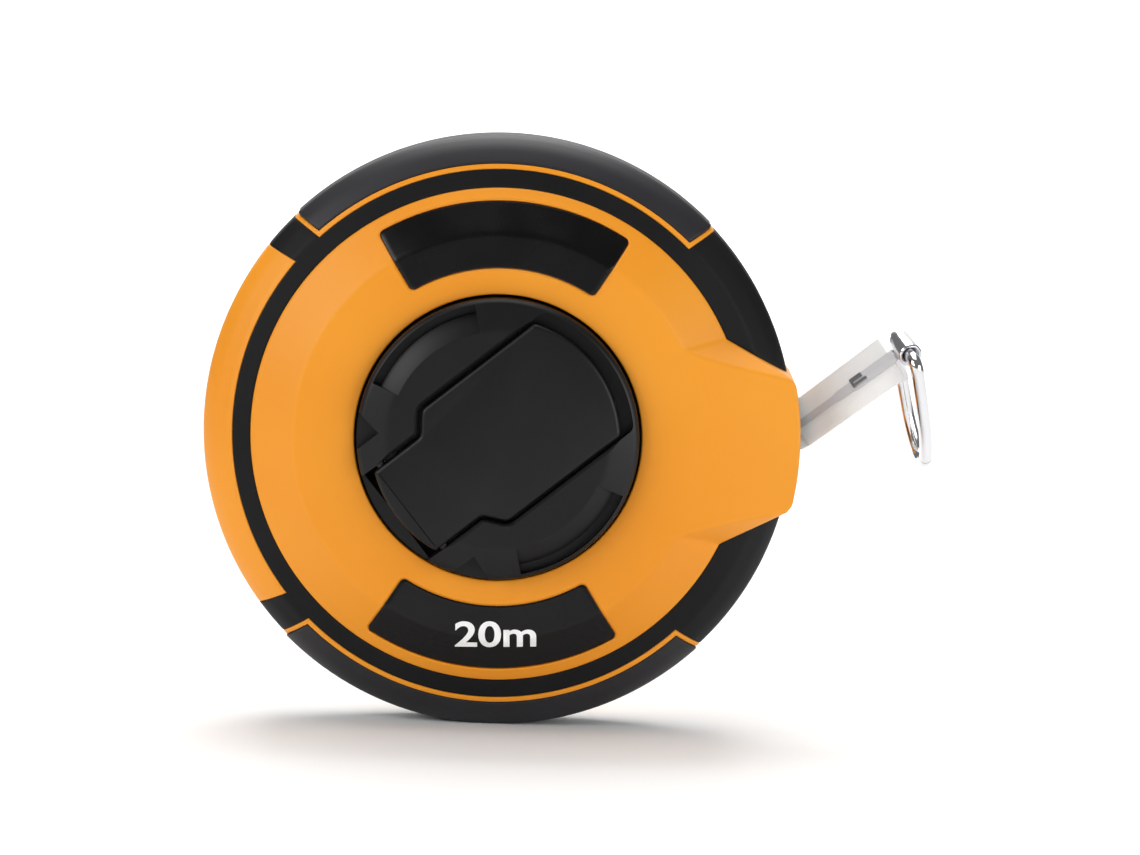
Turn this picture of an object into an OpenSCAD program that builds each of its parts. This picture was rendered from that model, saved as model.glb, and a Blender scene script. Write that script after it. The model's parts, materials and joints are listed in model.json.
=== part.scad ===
// Closed-case hand-wound tape measure with a fold-out crank, 20 m by 13 mm.
// Design frame: x to the mouth, y up, z out of the front; place() stands the case upright.

/* [Case] */
// Outer diameter of the case
case_d = 132.4; // [110:0.2:160]
// Thickness of the case over its flat faces
case_t = 38; // [31:0.5:46]
// Wall of the two shells
wall = 2.4; // [2:0.1:2.9]
// Width of the outer band, from the ring band to the rim
band_w = 6.8; // [5.6:0.1:8.2]
// Width of the orange line between ring band and grip
line_w = 1.2; // [1:0.1:1.5]
// Width of the soft ring band
ring_w = 4.1; // [3.4:0.1:5]
// Width of the bevel between the flat disc and the ring band
bevel_w = 9.7; // [8:0.1:11.7]
// Drop of that bevel
bevel_drop = 6.3; // [5.2:0.1:7.6]
// Half thickness of the straight rim
rim_half = 5.6; // [4.6:0.1:6.8]
// Width of the slope from the band's shoulder to the rim
rim_round = 2.2; // [1.8:0.1:2.7]
// Thickness of the soft overmould
skin_t = 1.0; // [0.8:0.1:1.2]
// Thickness of the rubber grips
grip_t = 1.6; // [1.3:0.1:2]
// Half angle of a grip, about straight up and straight down
grip_half = 44.2; // [36:0.1:50]
// Half angle of the bare crescent opposite the mouth
crescent_half = 37.5; // [31:0.1:42]

/* [Nose] */
// How far the nose stands out past the rim
nose_proud = 1.2; // [1:0.1:1.5]
// Half angle of the nose at its tip
nose_tip_half = 12.4; // [11.5:0.1:15]
// Half angle of the nose where it leaves the ring band
nose_root_half = 24.6; // [21:0.1:29]
// Half angle of the nose on the flat disc's edge
nose_apex_half = 27; // [25:0.1:32]
// Drop of the nose's face at its tip
tip_drop = 1.6; // [1.3:0.1:2]
// Wall of the mouth guide
guide_wall = 1.2; // [1:0.1:1.4]

/* [Labels] */
// Half angle of a label window
label_half = 32.3; // [27:0.1:38]
// Depth of a label window
label_depth = 1.2; // [1:0.1:1.4]
// Thickness of a label plate
label_t = 0.7; // [0.6:0.05:0.85]
// Radius of the rear label
rear_label_r = 28; // [23:0.5:33]
// Thickness of the rear label
rear_label_t = 0.8; // [0.6:0.05:1]

/* [Hub] */
// Radius of the winding hub
hub_r = 31.4; // [30.8:0.1:32.5]
// Gap round the hub in the front shell
hub_gap = 0.6; // [0.5:0.05:0.8]
// How far the hub stands out of the case
hub_proud = 5.5; // [5.2:0.1:6.6]
// Direction of the crank arm from the mouth's direction
hub_turn = 39.4; // [0:0.1:90]
// Half width of the finger pockets, as an angle
pocket_half = 28; // [23:1:33]
// Radius at which the hub's top starts to slope
hub_top_r = 24.7; // [24:0.1:27]

/* [Crank] */
// Thickness of the crank arm
arm_t = 4; // [3.6:0.1:4.2]
// Half width of the arm's wide end
arm_wide = 15.7; // [14:0.1:16.5]
// Half width of the arm's hinge end
arm_slim = 11.1; // [9.3:0.1:11.5]
// Radius of the arm's free end about the hub's centre
arm_r = 27.2; // [26:0.1:28]
// Distance of the hinge from the hub's centre
hinge_u = 24; // [23.4:0.1:24.6]
// Gap between the arm and its channel
arm_gap = 0.8; // [0.7:0.05:0.95]
// Radius of the hinge pin
hinge_pin_r = 1.0; // [0.85:0.05:1.1]
// Distance of the knob from the hub's centre
knob_u = 13; // [12:0.1:15]
// Radius of the knob
knob_r = 7.8; // [6.5:0.1:8.6]
// Radius of the stub that the knob turns on
stub_r = 2.5; // [2.1:0.1:3]

/* [Reel] */
// Radius of the reel's core
core_r = 16; // [15.6:0.1:19]
// Thickness of a flange
flange_t = 1.5; // [1.25:0.05:1.8]
// Bare margin of the flange outside the wound tape
flange_margin = 9.1; // [7.6:0.1:10.9]
// Radius of the fixed spindle
spindle_r = 7; // [6:0.1:7.6]
// Radius on which the hub screws sit
hub_screw_pcd_r = 13.1; // [12.8:0.1:13.4]

/* [Tape] */
// Width of the tape
tape_w = 13; // [10.8:0.1:15.6]
// Thickness of the tape
tape_t = 0.2; // [0.16:0.01:0.24]
// Length of tape outside the mouth
free_len = 27.5; // [24:0.1:33]
// Twist of the tape at the mouth
mouth_twist = 43; // [36:1:50]
// Twist of the tape at its end
end_twist = 50; // [44:1:56]
// Thickness of each wall of the clear sleeve
sleeve_wall = 0.3; // [0.25:0.05:0.35]
// Width of the steel strip
strip_w = 3.7; // [3.1:0.1:4.4]
// Thickness of the steel strip
strip_t = 0.3; // [0.25:0.05:0.35]

/* [Ring] */
// Turn of the barrel from the spindle's direction
barrel_turn = 24; // [20:1:29]
// Radius of the barrel
barrel_r = 2.7; // [2.3:0.1:3.2]
// Length of the barrel
barrel_len = 8.4; // [7:0.1:9.6]
// Radius of the ring's wire
wire_r = 1.5; // [1.3:0.05:1.8]
// Half width of the ring between the centres of its legs
ring_half = 8.2; // [8:0.1:9.8]
// Length of the ring from the barrel's axis to the centre of its wire
ring_len = 28.8; // [24:0.1:34]
// Turn of the hanging ring about the barrel
ring_hang = 16; // [0:1:20]

/* [Screws] */
// Radius of a case screw
case_screw_r = 1.5; // [1.3:0.05:1.6]
// Radius of a case screw's head
case_head_r = 2.7; // [2.4:0.1:2.75]
// Radius of a case screw's boss
boss_r = 2.9; // [2.8:0.1:3.4]
// Radius of the guide pins
guide_pin_r = 1.8; // [1.5:0.1:2.1]

/* [Hidden] */

$fn = 96;
eps = 0.01;
far = 200;
mid = case_t / 2;

// radii and heights of the case, from the rim inwards
case_r = case_d / 2;
ring_out_r = case_r - band_w;
band_in_r = ring_out_r + line_w;
ring_in_r = ring_out_r - ring_w;
flat_r = ring_in_r - bevel_w;
tip_r = case_r + nose_proud;
ring_slope = 0.9;
line_drop = 0.8;
shoulder_drop = 3;
shoulder_r = case_r - rim_round;
ring_in_z = case_t - bevel_drop;
ring_out_z = ring_in_z - ring_slope;
band_in_z = ring_out_z - line_drop;
shoulder_z = mid + rim_half + shoulder_drop;
rim_z = mid + rim_half;
cavity_r = case_r - grip_t - wall;
label_in_r = hub_r + hub_gap + 5.8;
label_out_r = ring_in_r - 2.8;

// the reel and what keeps it
seat_gap = 0.2;
tape_gap = 0.3;
case_screw_circle = ring_in_r - boss_r - 0.1;
flange_r = case_screw_circle - boss_r - 0.9;
pack_r = flange_r - flange_margin;
gap_half = tape_w / 2 + tape_gap;
rear_flange_z = mid - gap_half - flange_t;
core_top_z = mid + gap_half;
hub_floor_z = core_top_z + flange_t;
drag_t = 1;
shoulder_top_z = rear_flange_z - drag_t - seat_gap;
spindle_top_z = core_top_z - 2.6;
ledge_z = spindle_top_z - seat_gap;
washer_t = 1;
washer_r = spindle_r + 2.5;
washer_hole_r = washer_r + 0.7;
seat_r = spindle_r + 6;
spindle_screw_r = 2;
spindle_screw_len = 12;
spindle_head_r = 3.8;
spindle_head_h = 1.9;
run_gap = 0.06;
bite = 0.15;
hole_gap = 0.2;
drive_r = 0.9;
drive_depth = 1.2;

// the hub and its channel
hub_hole_r = hub_r + hub_gap;
hub_top_z = case_t + hub_proud;
hub_slope_r = hub_r - 0.9;
hub_slope_z = hub_top_z - 1.6;
arm_bottom_z = hub_top_z - arm_t;
channel_z = arm_bottom_z - 0.9;
channel_slim = arm_slim + arm_gap;
channel_end_r = hub_r - 1.2;
jog_wide_u = -9.35;
jog_slim_u = -13.1;
tail_r = hinge_u + 4.3;
hinge_z = hub_top_z - 2.3;
trough_r = 5.3;
notch_z = case_t + 0.3;
pin_half = arm_slim + 3.2;
hub_screw_r = 1.5;
hub_screw_head_r = 2.7;
hub_screw_head_h = 1.8;
hub_screw_bite = 8;
hub_screw_seat_z = hub_floor_z + 2.2;
hub_screw_angles = [180, 75, -75];
pocket_floor_z = hub_floor_z + 1.5;
pocket_r = knob_r + 1.4;
knob_top_z = arm_bottom_z - seat_gap;
knob_bottom_z = pocket_floor_z + 0.5;
knob_seat_z = knob_bottom_z + 2;
stub_end_z = knob_seat_z - 0.1;
knob_screw_r = 1.2;
knob_head_r = 3.8;
knob_head_h = 1.2;
anchor_r = 1.2;

// the tape's straight run from the wound tape to the mouth
mouth_x = tip_r - 0.3;
mouth_y = 2.3;
run_r = pack_r + tape_t / 2 + 0.15;
mouth_dist = norm([mouth_x, mouth_y]);
tape_angle = atan2(mouth_y, mouth_x) + asin(run_r / mouth_dist);
mouth_s = sqrt(pow(mouth_dist, 2) - pow(run_r, 2));
twist_len = 17.3;
twist_s = mouth_s - twist_len;
pins_s = twist_s - 2;
lead_s = 1;
end_s = mouth_s + free_len;
barrel_s = end_s + 2.9;
sleeve_margin = 0.45;
sleeve_w = tape_w + 2 * sleeve_margin;
rivet_r = 0.7;
end_turn = barrel_turn - end_twist;
blade_half_n = tape_w / 2 * sin(mouth_twist);
mouth_half_z = tape_w / 2 + 0.9;
guide_len = 6.4;
guide_x0 = tip_r - guide_len;
pin_gap = 0.35;
guide_low = mouth_y - (mouth_x - guide_x0) * tan(tape_angle) - blade_half_n / cos(tape_angle) - 0.6;
guide_high = mouth_y + blade_half_n / cos(tape_angle) + 1;

// screws that close the case
nose_screw_inset = 8.3;
nose_screw_angle = 12.5;
case_screw_spots = concat(
    [for (k = [0:5]) polar(case_screw_circle, 30 + 60 * k)],
    [polar(case_r - nose_screw_inset, nose_screw_angle)]
);
case_seat_z = 7;
case_head_h = 1.9;
counterbore_wall = 1.2;
case_screw_end_z = mid + 7.5;

function polar(r, a) = [r * cos(a), r * sin(a)];
function unit(v) = v / norm(v);

// outline of the rim on the front half, and the same line t under the surface
function band_outside(r, z) = [[r, z], [shoulder_r, shoulder_z], [case_r, rim_z]];
function band_inside(r, z, t) = [
    [r, z - t],
    [shoulder_r - 0.6 * t, shoulder_z - 0.9 * t],
    [case_r - t, rim_z - 0.3 * t]
];
function turned(points) = [for (k = [len(points) - 1:-1:0]) points[k]];
function height_at(r) = r < flat_r ? case_t
    : r < ring_in_r ? case_t - bevel_drop * (r - flat_r) / bevel_w
    : ring_in_z - ring_slope * (r - ring_in_r) / ring_w;

// corners of the nose: on the disc's edge, on the ring band and at the tip
nose_apex = polar(flat_r, nose_apex_half);
nose_root = polar(ring_in_r, nose_root_half);
nose_corner = polar(tip_r, nose_tip_half);
flank_dir = unit(nose_corner - nose_root);
flank_out = [-flank_dir[1], flank_dir[0]];
facet_sink = 0.3;
facet_points = [
    [nose_apex[0], nose_apex[1], case_t - facet_sink],
    [nose_corner[0], nose_corner[1], case_t - tip_drop],
    [nose_root[0], nose_root[1], ring_in_z - facet_sink]
];
facet_up = unit(cross(facet_points[1] - facet_points[0], facet_points[2] - facet_points[0]));
slope_x = flat_r + 4;
slope_angle = atan2(tip_drop, nose_corner[0] - slope_x);

module place() {
    rotate([90, 0, 0]) children();
}

module on_hub() {
    rotate([0, 0, hub_turn]) children();
}

// from the tape's frame (x across the tape, z along it) to the design frame, s along the run
module along_tape(s, turn) {
    multmatrix([
        [0, sin(tape_angle), cos(tape_angle), run_r * sin(tape_angle) + s * cos(tape_angle)],
        [0, -cos(tape_angle), sin(tape_angle), -run_r * cos(tape_angle) + s * sin(tape_angle)],
        [1, 0, 0, mid],
        [0, 0, 0, 1]
    ]) rotate([0, 0, turn]) children();
}

module tube(r, hole_r, z0, z1) {
    difference() {
        translate([0, 0, z0]) cylinder(r = r, h = z1 - z0);
        translate([0, 0, z0 - 1]) cylinder(r = hole_r, h = z1 - z0 + 2);
    }
}

module disc(r, z0, z1) {
    translate([0, 0, z0]) cylinder(r = r, h = z1 - z0);
}

// blind round socket for a driver in the top of a screw's head
module drive(top_z, r) {
    disc(r, top_z - drive_depth, top_z + 1);
}

// a wedge about the spindle's axis, from angle a0 to angle a1
module wedge(a0, a1, z0, z1) {
    span = a1 - a0;
    rim = [for (k = [0:4]) polar(far, a0 + span * k / 4)];
    translate([0, 0, z0]) linear_extrude(z1 - z0) polygon(concat([[0, 0]], rim));
}

module mirrored_front() {
    translate([0, 0, case_t]) mirror([0, 0, 1]) children();
}

// half space above a plane through p with its normal up
module above_plane(p, up) {
    translate(p) rotate([0, acos(up[2]), atan2(up[1], up[0])])
        translate([-far, -far, 0]) cube([2 * far, 2 * far, far]);
}

// plan of the nose, drawn in by inset on its flanks
module nose_plan(inset) {
    root = nose_root - inset * flank_out;
    ahead = root + 40 * flank_dir;
    apex = nose_apex - [0, inset];
    outline = [[20, apex[1] * 0.6], apex, root, ahead];
    polygon(concat(outline, turned([for (p = outline) [p[0], -p[1]]])));
}

// the nose with its sloped face and side facets, drawn in by inset on every outer face
module nose_prism(inset) {
    difference() {
        intersection() {
            disc(tip_r - inset, mid, case_t - inset);
            translate([0, 0, mid - 1]) linear_extrude(case_t) nose_plan(inset);
        }
        above_plane(facet_points[0] - inset * facet_up, facet_up);
        mirror([0, 1, 0]) above_plane(facet_points[0] - inset * facet_up, facet_up);
        translate([slope_x, 0, case_t - inset]) rotate([0, slope_angle, 0])
            translate([0, -far, 0]) cube([far, 2 * far, far]);
    }
}

// solid front half of the case, from the middle plane up
module case_half() {
    rotate_extrude($fn = 180) polygon(concat(
        [[0, mid], [0, case_t], [flat_r, case_t], [ring_in_r, ring_in_z], [ring_out_r, ring_out_z]],
        band_outside(band_in_r, band_in_z),
        [[case_r, mid]]
    ));
    nose_prism(0);
}

// hollow of that half
module cavity_half() {
    rotate_extrude($fn = 180) polygon([
        [0, mid - 1],
        [0, case_t - wall],
        [flat_r - wall / 3, case_t - wall],
        [ring_in_r - wall / 2, ring_in_z - wall],
        [ring_out_r - 0.4, ring_out_z - wall - 0.4],
        [cavity_r - 1, shoulder_z - wall + 0.1],
        [cavity_r, rim_z - wall / 2],
        [cavity_r, mid - 1]
    ]);
    translate([0, 0, -eps]) nose_prism(wall);
}

// room outside a line under the rim's surface, from radius r outwards
module band_zone(r, z, t) {
    rotate_extrude($fn = 180) polygon(concat(
        band_inside(r, z, t),
        [[case_r - t, mid], [case_r + 2, mid], [case_r + 2, case_t + 2], [r, case_t + 2]]
    ));
}

// the rim's sectors between grips, crescent and nose
module rim_sectors() {
    for (side = [0, 1]) mirror([0, side, 0]) {
        wedge(0, 90 - grip_half, mid - 1, far);
        wedge(90 + grip_half, 180 - crescent_half, mid - 1, far);
    }
}

// room for the soft overmould: the ring band, and the rim's sectors
module bumper_zone() {
    difference() {
        union() {
            rotate_extrude($fn = 180) polygon([
                [ring_in_r, ring_in_z - skin_t],
                [ring_in_r, case_t + 2],
                [ring_out_r, case_t + 2],
                [ring_out_r, ring_out_z - skin_t]
            ]);
            intersection() {
                band_zone(ring_out_r, ring_out_z, skin_t);
                rim_sectors();
            }
        }
        linear_extrude(far) nose_plan(0);
    }
}

// the soft overmould of the front half itself
module bumper_half() {
    difference() {
        union() {
            rotate_extrude($fn = 180) polygon([
                [ring_in_r, ring_in_z - skin_t],
                [ring_in_r, ring_in_z],
                [ring_out_r, ring_out_z],
                [ring_out_r, ring_out_z - skin_t]
            ]);
            intersection() {
                rotate_extrude($fn = 180) polygon(concat(
                    band_outside(ring_out_r, ring_out_z),
                    [[case_r, mid], [case_r - skin_t, mid]],
                    turned(band_inside(ring_out_r, ring_out_z, skin_t))
                ));
                rim_sectors();
            }
        }
        linear_extrude(far) nose_plan(0);
    }
}

module grip_zone() {
    intersection() {
        band_zone(band_in_r, band_in_z, grip_t);
        wedge(90 - grip_half, 90 + grip_half, mid - 1, far);
    }
}

// one grip: a saddle over the rim, the same on both faces
module grip() {
    outer = band_outside(band_in_r, band_in_z);
    inner = band_inside(band_in_r, band_in_z, grip_t);
    outer_rear = turned([for (p = outer) [p[0], case_t - p[1]]]);
    inner_rear = [for (p = inner) [p[0], case_t - p[1]]];
    intersection() {
        rotate_extrude($fn = 180) polygon(concat(outer, outer_rear, inner_rear, turned(inner)));
        wedge(90 - grip_half, 90 + grip_half, 0, case_t);
    }
}

// label plate of thickness t whose outer face lies depth under the case's surface
module label_sector(depth, t, half) {
    r_mid = min(flat_r, label_out_r - 1);
    top = [for (r = [label_in_r, r_mid, label_out_r]) [r, height_at(r) - depth]];
    bottom = turned([for (p = top) [p[0], p[1] - t]]);
    intersection() {
        rotate_extrude($fn = 180) polygon(concat(top, bottom));
        wedge(90 - half, 90 + half, 0, case_t + 1);
    }
}

// everything that the two shells have in common
module shell_half() {
    difference() {
        union() {
            difference() {
                case_half();
                cavity_half();
            }
            intersection() {
                case_half();
                for (p = case_screw_spots) translate([p[0], p[1], 0]) disc(boss_r, mid, case_t);
            }
        }
        bumper_zone();
        grip_zone();
        mirror([0, 1, 0]) grip_zone();
        translate([guide_x0 - 1, guide_low - guide_wall, mid - mouth_half_z - guide_wall])
            cube([20, guide_high - guide_low + 2 * guide_wall, 2 * (mouth_half_z + guide_wall)]);
    }
}

module front_shell() color("#e99825") place() difference() {
    shell_half();
    disc(hub_hole_r, mid, case_t + 1);
    label_sector(-1, label_depth + 1, label_half);
    mirror([0, 1, 0]) label_sector(-1, label_depth + 1, label_half);
    for (p = case_screw_spots) translate([p[0], p[1], 0])
        disc(case_screw_r - bite, mid - 1, case_screw_end_z + 0.5);
    guide_pin_solids();
}

module counterbore_walls() {
    for (p = case_screw_spots) translate([p[0], p[1], 0])
        disc(case_head_r + counterbore_wall, 0, case_seat_z + 1.5);
}

module rear_shell() color("#e99825") place() difference() {
    union() {
        mirrored_front() shell_half();
        intersection() {
            mirrored_front() case_half();
            counterbore_walls();
        }
        disc(seat_r, wall / 2, shoulder_top_z);
        disc(spindle_r, wall / 2, spindle_top_z);
    }
    mirrored_front() bumper_zone();
    disc(spindle_screw_r - bite, spindle_top_z - spindle_screw_len, spindle_top_z + 1);
    disc(rear_label_r, -1, rear_label_t);
    for (p = case_screw_spots) translate([p[0], p[1], 0]) {
        disc(case_head_r + hole_gap, -1, case_seat_z);
        disc(case_screw_r + hole_gap, 0, mid + 1);
    }
    guide_pin_solids();
}

module front_bumper() color("#1d1d20") place() bumper_half();

module rear_bumper() color("#1d1d20") place() mirrored_front() bumper_half();

module top_grip() color("#2b2b2e") place() grip();

module bottom_grip() color("#2b2b2e") place() mirror([0, 1, 0]) grip();

module label_top() color("#0e0e10") place() label_sector(label_depth - label_t, label_t, label_half - 0.2);

module label_bottom() color("#0e0e10") place() mirror([0, 1, 0])
    label_sector(label_depth - label_t, label_t, label_half - 0.2);

module rear_label() color("#151517") place() disc(rear_label_r - 0.1, 0, rear_label_t);

// frame of the mouth, held between the shells
module mouth_guide() color("#1a1a1c") place() intersection() {
    difference() {
        translate([guide_x0, guide_low - guide_wall, mid - mouth_half_z - guide_wall])
            cube([20, guide_high - guide_low + 2 * guide_wall, 2 * (mouth_half_z + guide_wall)]);
        translate([guide_x0 - 1, guide_low, mid - mouth_half_z])
            cube([30, guide_high - guide_low, 2 * mouth_half_z]);
    }
    disc(tip_r, 0, case_t);
}

// two smooth pins that the tape runs between
module guide_pin_solids() {
    for (side = [-1, 1]) {
        offset_n = side * (guide_pin_r + tape_t / 2 + pin_gap);
        x = (run_r + offset_n) * sin(tape_angle) + pins_s * cos(tape_angle);
        y = -(run_r + offset_n) * cos(tape_angle) + pins_s * sin(tape_angle);
        reach = height_at(norm([x, y])) - mid - 1;
        translate([x, y, 0]) disc(guide_pin_r, mid - reach, mid + reach);
    }
}

module guide_pins() color("silver") place() guide_pin_solids();

module case_screws() color("#3a3a3d") place()
    for (p = case_screw_spots) translate([p[0], p[1], 0]) difference() {
        union() {
            disc(case_head_r, case_seat_z - case_head_h, case_seat_z);
            disc(case_screw_r, case_seat_z - eps, case_screw_end_z);
        }
        disc(drive_r, 0, case_seat_z - case_head_h + drive_depth);
    }

module hub_screw_spots() {
    on_hub() for (a = hub_screw_angles) rotate([0, 0, a]) translate([hub_screw_pcd_r, 0, 0]) children();
}

// core and rear flange of the reel
module reel_drum() color("#2e2e30") place() difference() {
    union() {
        disc(flange_r, rear_flange_z, rear_flange_z + flange_t);
        disc(core_r, rear_flange_z, core_top_z);
    }
    disc(spindle_r + run_gap, 0, core_top_z + 1);
    disc(washer_hole_r, ledge_z, core_top_z + 1);
    hub_screw_spots() disc(hub_screw_r - bite, core_top_z - hub_screw_bite - 2, core_top_z + 1);
    anchor_spot() disc(anchor_r, mid - tape_w / 2, core_top_z + 1);
}

module anchor_spot() {
    on_hub() translate([core_r - 2, 0, 0]) children();
}

module tape_anchor() color("silver") place() anchor_spot() disc(anchor_r, mid - tape_w / 2, core_top_z);

module front_flange() color("#2e2e30") place() difference() {
    tube(flange_r, washer_hole_r, core_top_z, hub_floor_z);
    hub_screw_spots() disc(hub_screw_r + hole_gap, 0, far);
}

module drag_washer() color("#a8763a") place()
    tube(seat_r - 0.5, spindle_r + 0.3, shoulder_top_z, shoulder_top_z + drag_t);

module spindle_washer() color("silver") place()
    tube(washer_r, spindle_screw_r + hole_gap, spindle_top_z, spindle_top_z + washer_t);

module spindle_screw() color("silver") place() {
    head_z = spindle_top_z + washer_t;
    difference() {
        union() {
            disc(spindle_head_r, head_z, head_z + spindle_head_h);
            disc(spindle_screw_r, head_z - spindle_screw_len + 1, head_z + eps);
        }
        drive(head_z + spindle_head_h, 1.3);
    }
}

// the wound tape
module tape_coil() color("#f1f1ea") place() tube(pack_r, core_r, mid - tape_w / 2, mid + tape_w / 2);

// plan of the arm, grown by gap on its sides
module arm_plan(gap, end_r, back_u) {
    wide = arm_wide + gap;
    slim = arm_slim + gap;
    points = [[back_u, slim], [jog_slim_u, slim], [jog_wide_u, wide], [far, wide]];
    intersection() {
        circle(r = end_r, $fn = 180);
        polygon(concat(points, turned([for (p = points) [p[0], -p[1]]])));
    }
}

module hinge_rod(r, half) {
    translate([-hinge_u, 0, hinge_z]) rotate([90, 0, 0]) cylinder(r = r, h = 2 * half, center = true);
}

module winding_hub() color("#1f1f21") place() on_hub() difference() {
    rotate_extrude($fn = 180) polygon([
        [0, hub_floor_z],
        [hub_r, hub_floor_z],
        [hub_r, hub_slope_z - 0.9],
        [hub_slope_r, hub_slope_z],
        [hub_top_r, hub_top_z],
        [0, hub_top_z]
    ]);
    translate([0, 0, channel_z]) linear_extrude(far) arm_plan(arm_gap, channel_end_r, -far);
    translate([-far - 20, -channel_slim, notch_z]) cube([far, 2 * channel_slim, far]);
    intersection() {
        hinge_rod(trough_r, channel_slim);
        disc(hub_r, 0, far);
    }
    hinge_rod(hinge_pin_r, pin_half);
    translate([knob_u, 0, 0]) disc(pocket_r, pocket_floor_z, far);
    for (a = hub_screw_angles) rotate([0, 0, a]) translate([hub_screw_pcd_r, 0, 0]) {
        disc(hub_screw_r + hole_gap, 0, far);
        disc(hub_screw_head_r + 0.3, hub_screw_seat_z, far);
    }
    for (side = [0, 1]) mirror([0, side, 0]) {
        intersection() {
            rotate_extrude($fn = 180) polygon([
                [hub_top_r - 1, hub_top_z + 1],
                [hub_top_r - 1, hub_top_z],
                [hub_slope_r - 1.4, channel_z + 0.2],
                [hub_slope_r, channel_z + 0.2],
                [hub_slope_r, hub_top_z + 1]
            ]);
            wedge(90 - pocket_half, 90 + pocket_half, 0, far);
        }
        intersection() {
            disc(hub_r - 2, hub_floor_z - 1, channel_z - 3);
            translate([-far, hub_screw_pcd_r + 6, 0]) cube([2 * far, far, far]);
        }
    }
}

module hub_screws() color("silver") place() hub_screw_spots() difference() {
    union() {
        disc(hub_screw_head_r, hub_screw_seat_z, hub_screw_seat_z + hub_screw_head_h);
        disc(hub_screw_r, core_top_z - hub_screw_bite, hub_screw_seat_z + eps);
    }
    drive(hub_screw_seat_z + hub_screw_head_h, drive_r);
}

// the arm lies in the hub's channel and folds out about the hinge pin
module crank_arm() color("#202022") place() on_hub() difference() {
    union() {
        translate([0, 0, arm_bottom_z]) linear_extrude(arm_t) intersection() {
            arm_plan(0, tail_r, -far);
            union() {
                circle(r = arm_r, $fn = 180);
                translate([-far, -far]) square([far, 2 * far]);
            }
        }
        translate([knob_u, 0, 0]) disc(stub_r, stub_end_z, arm_bottom_z + eps);
    }
    hinge_rod(hinge_pin_r + 0.05, arm_slim + 1);
    translate([knob_u, 0, 0]) disc(knob_screw_r - 0.1, 0, arm_bottom_z - 1.5);
}

module crank_hinge_pin() color("silver") place() on_hub() hinge_rod(hinge_pin_r, pin_half);

module crank_knob() color("#242427") place() on_hub() translate([knob_u, 0, 0]) difference() {
    rotate_extrude($fn = 96) polygon([
        [0, knob_bottom_z],
        [knob_r - 1, knob_bottom_z],
        [knob_r, knob_bottom_z + 1],
        [knob_r, knob_bottom_z + 3],
        [knob_r - 1.2, knob_top_z - 2],
        [knob_r - 1.2, knob_top_z],
        [0, knob_top_z]
    ]);
    disc(stub_r + run_gap, 0, far);
    disc(knob_head_r + 0.3, 0, knob_seat_z);
}

module knob_screw() color("silver") place() on_hub() translate([knob_u, 0, 0]) difference() {
    union() {
        disc(knob_head_r, stub_end_z - knob_head_h, stub_end_z);
        disc(knob_screw_r, stub_end_z - eps, arm_bottom_z - 2);
    }
    disc(drive_r, 0, stub_end_z - knob_head_h + 0.7);
}

// turn of the tape's face about its own length, s along the run
function strip_turn(s) = s < twist_s ? 0
    : s < mouth_s ? mouth_twist * (s - twist_s) / (mouth_s - twist_s)
    : s < end_s ? mouth_twist + (end_twist - mouth_twist) * (s - mouth_s) / free_len
    : end_twist + end_turn * min(1, (s - end_s) / (barrel_s - barrel_r - end_s));

function even_spots(s0, s1, w, steps) = [for (k = [0:steps]) [s0 + (s1 - s0) * k / steps, w]];

// a bar of thickness t that follows the tape's twist through spots [s, width], lift off its middle plane
module twisted_bar(spots, t, lift) {
    last = len(spots) - 1;
    points = [
        for (spot = spots) let (a = strip_turn(spot[0]), w = spot[1] / 2)
            for (p = [[-w, lift - t / 2], [w, lift - t / 2], [w, lift + t / 2], [-w, lift + t / 2]])
                [p[0] * cos(a) - p[1] * sin(a), p[0] * sin(a) + p[1] * cos(a), spot[0]]
    ];
    sides = [
        for (k = [0:last - 1]) for (c = [0:3]) let (n = (c + 1) % 4)
            for (f = [[4 * k + c, 4 * k + 4 + c, 4 * k + 4 + n], [4 * k + c, 4 * k + 4 + n, 4 * k + n]]) f
    ];
    ends = [[0, 1, 2, 3], [4 * last + 3, 4 * last + 2, 4 * last + 1, 4 * last]];
    along_tape(0, 0) polyhedron(points, concat(sides, ends), convexity = 4);
}

// flat from the wound tape, then twisted towards the front so that its face can be read
module tape_lead() color("#f4e9c8") place() twisted_bar(
    concat(
        [[lead_s, tape_w]],
        even_spots(twist_s, mouth_s, tape_w, 20),
        even_spots(mouth_s + 1, end_s - 1, tape_w, 14)
    ),
    tape_t, 0
);

module end_sleeve() color("#e0e0e0") place() {
    slot_t = 2 * strip_t + tape_t + 0.1;
    difference() {
        twisted_bar(even_spots(mouth_s + 0.2, end_s, sleeve_w, 14), slot_t + 2 * sleeve_wall, 0);
        twisted_bar(even_spots(mouth_s - 1, end_s + 1, tape_w + 0.2, 16), slot_t, 0);
    }
}

// steel strip on the tape's face: slim, then stepped wider, then into the barrel
module end_strip() color("#a8a8ac") place() {
    step1 = mouth_s + 0.4 * free_len;
    step2 = mouth_s + 0.52 * free_len;
    twisted_bar(
        concat(
            even_spots(mouth_s + 0.4, step1, 0.45 * strip_w, 6),
            even_spots(step1 + 0.05, step2, 0.75 * strip_w, 2),
            even_spots(step2 + 0.05, end_s, strip_w, 8),
            even_spots(end_s + 0.5, barrel_s - barrel_r + 0.2, strip_w, 2)
        ),
        strip_t, -(tape_t + strip_t) / 2
    );
}

module strip_rivets() color("silver") place()
    for (share = [0.62, 0.82]) along_tape(mouth_s + share * free_len, strip_turn(mouth_s + share * free_len))
        rotate([90, 0, 0]) cylinder(r = rivet_r, h = tape_t + 2 * strip_t, center = true);

module at_barrel() {
    along_tape(barrel_s, barrel_turn) children();
}

module ring_barrel() color("#c9c9cc") place() at_barrel() rotate([0, 90, 0]) difference() {
    cylinder(r = barrel_r, h = barrel_len, center = true);
    cylinder(r = wire_r + run_gap, h = barrel_len + 2, center = true);
}

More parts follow.
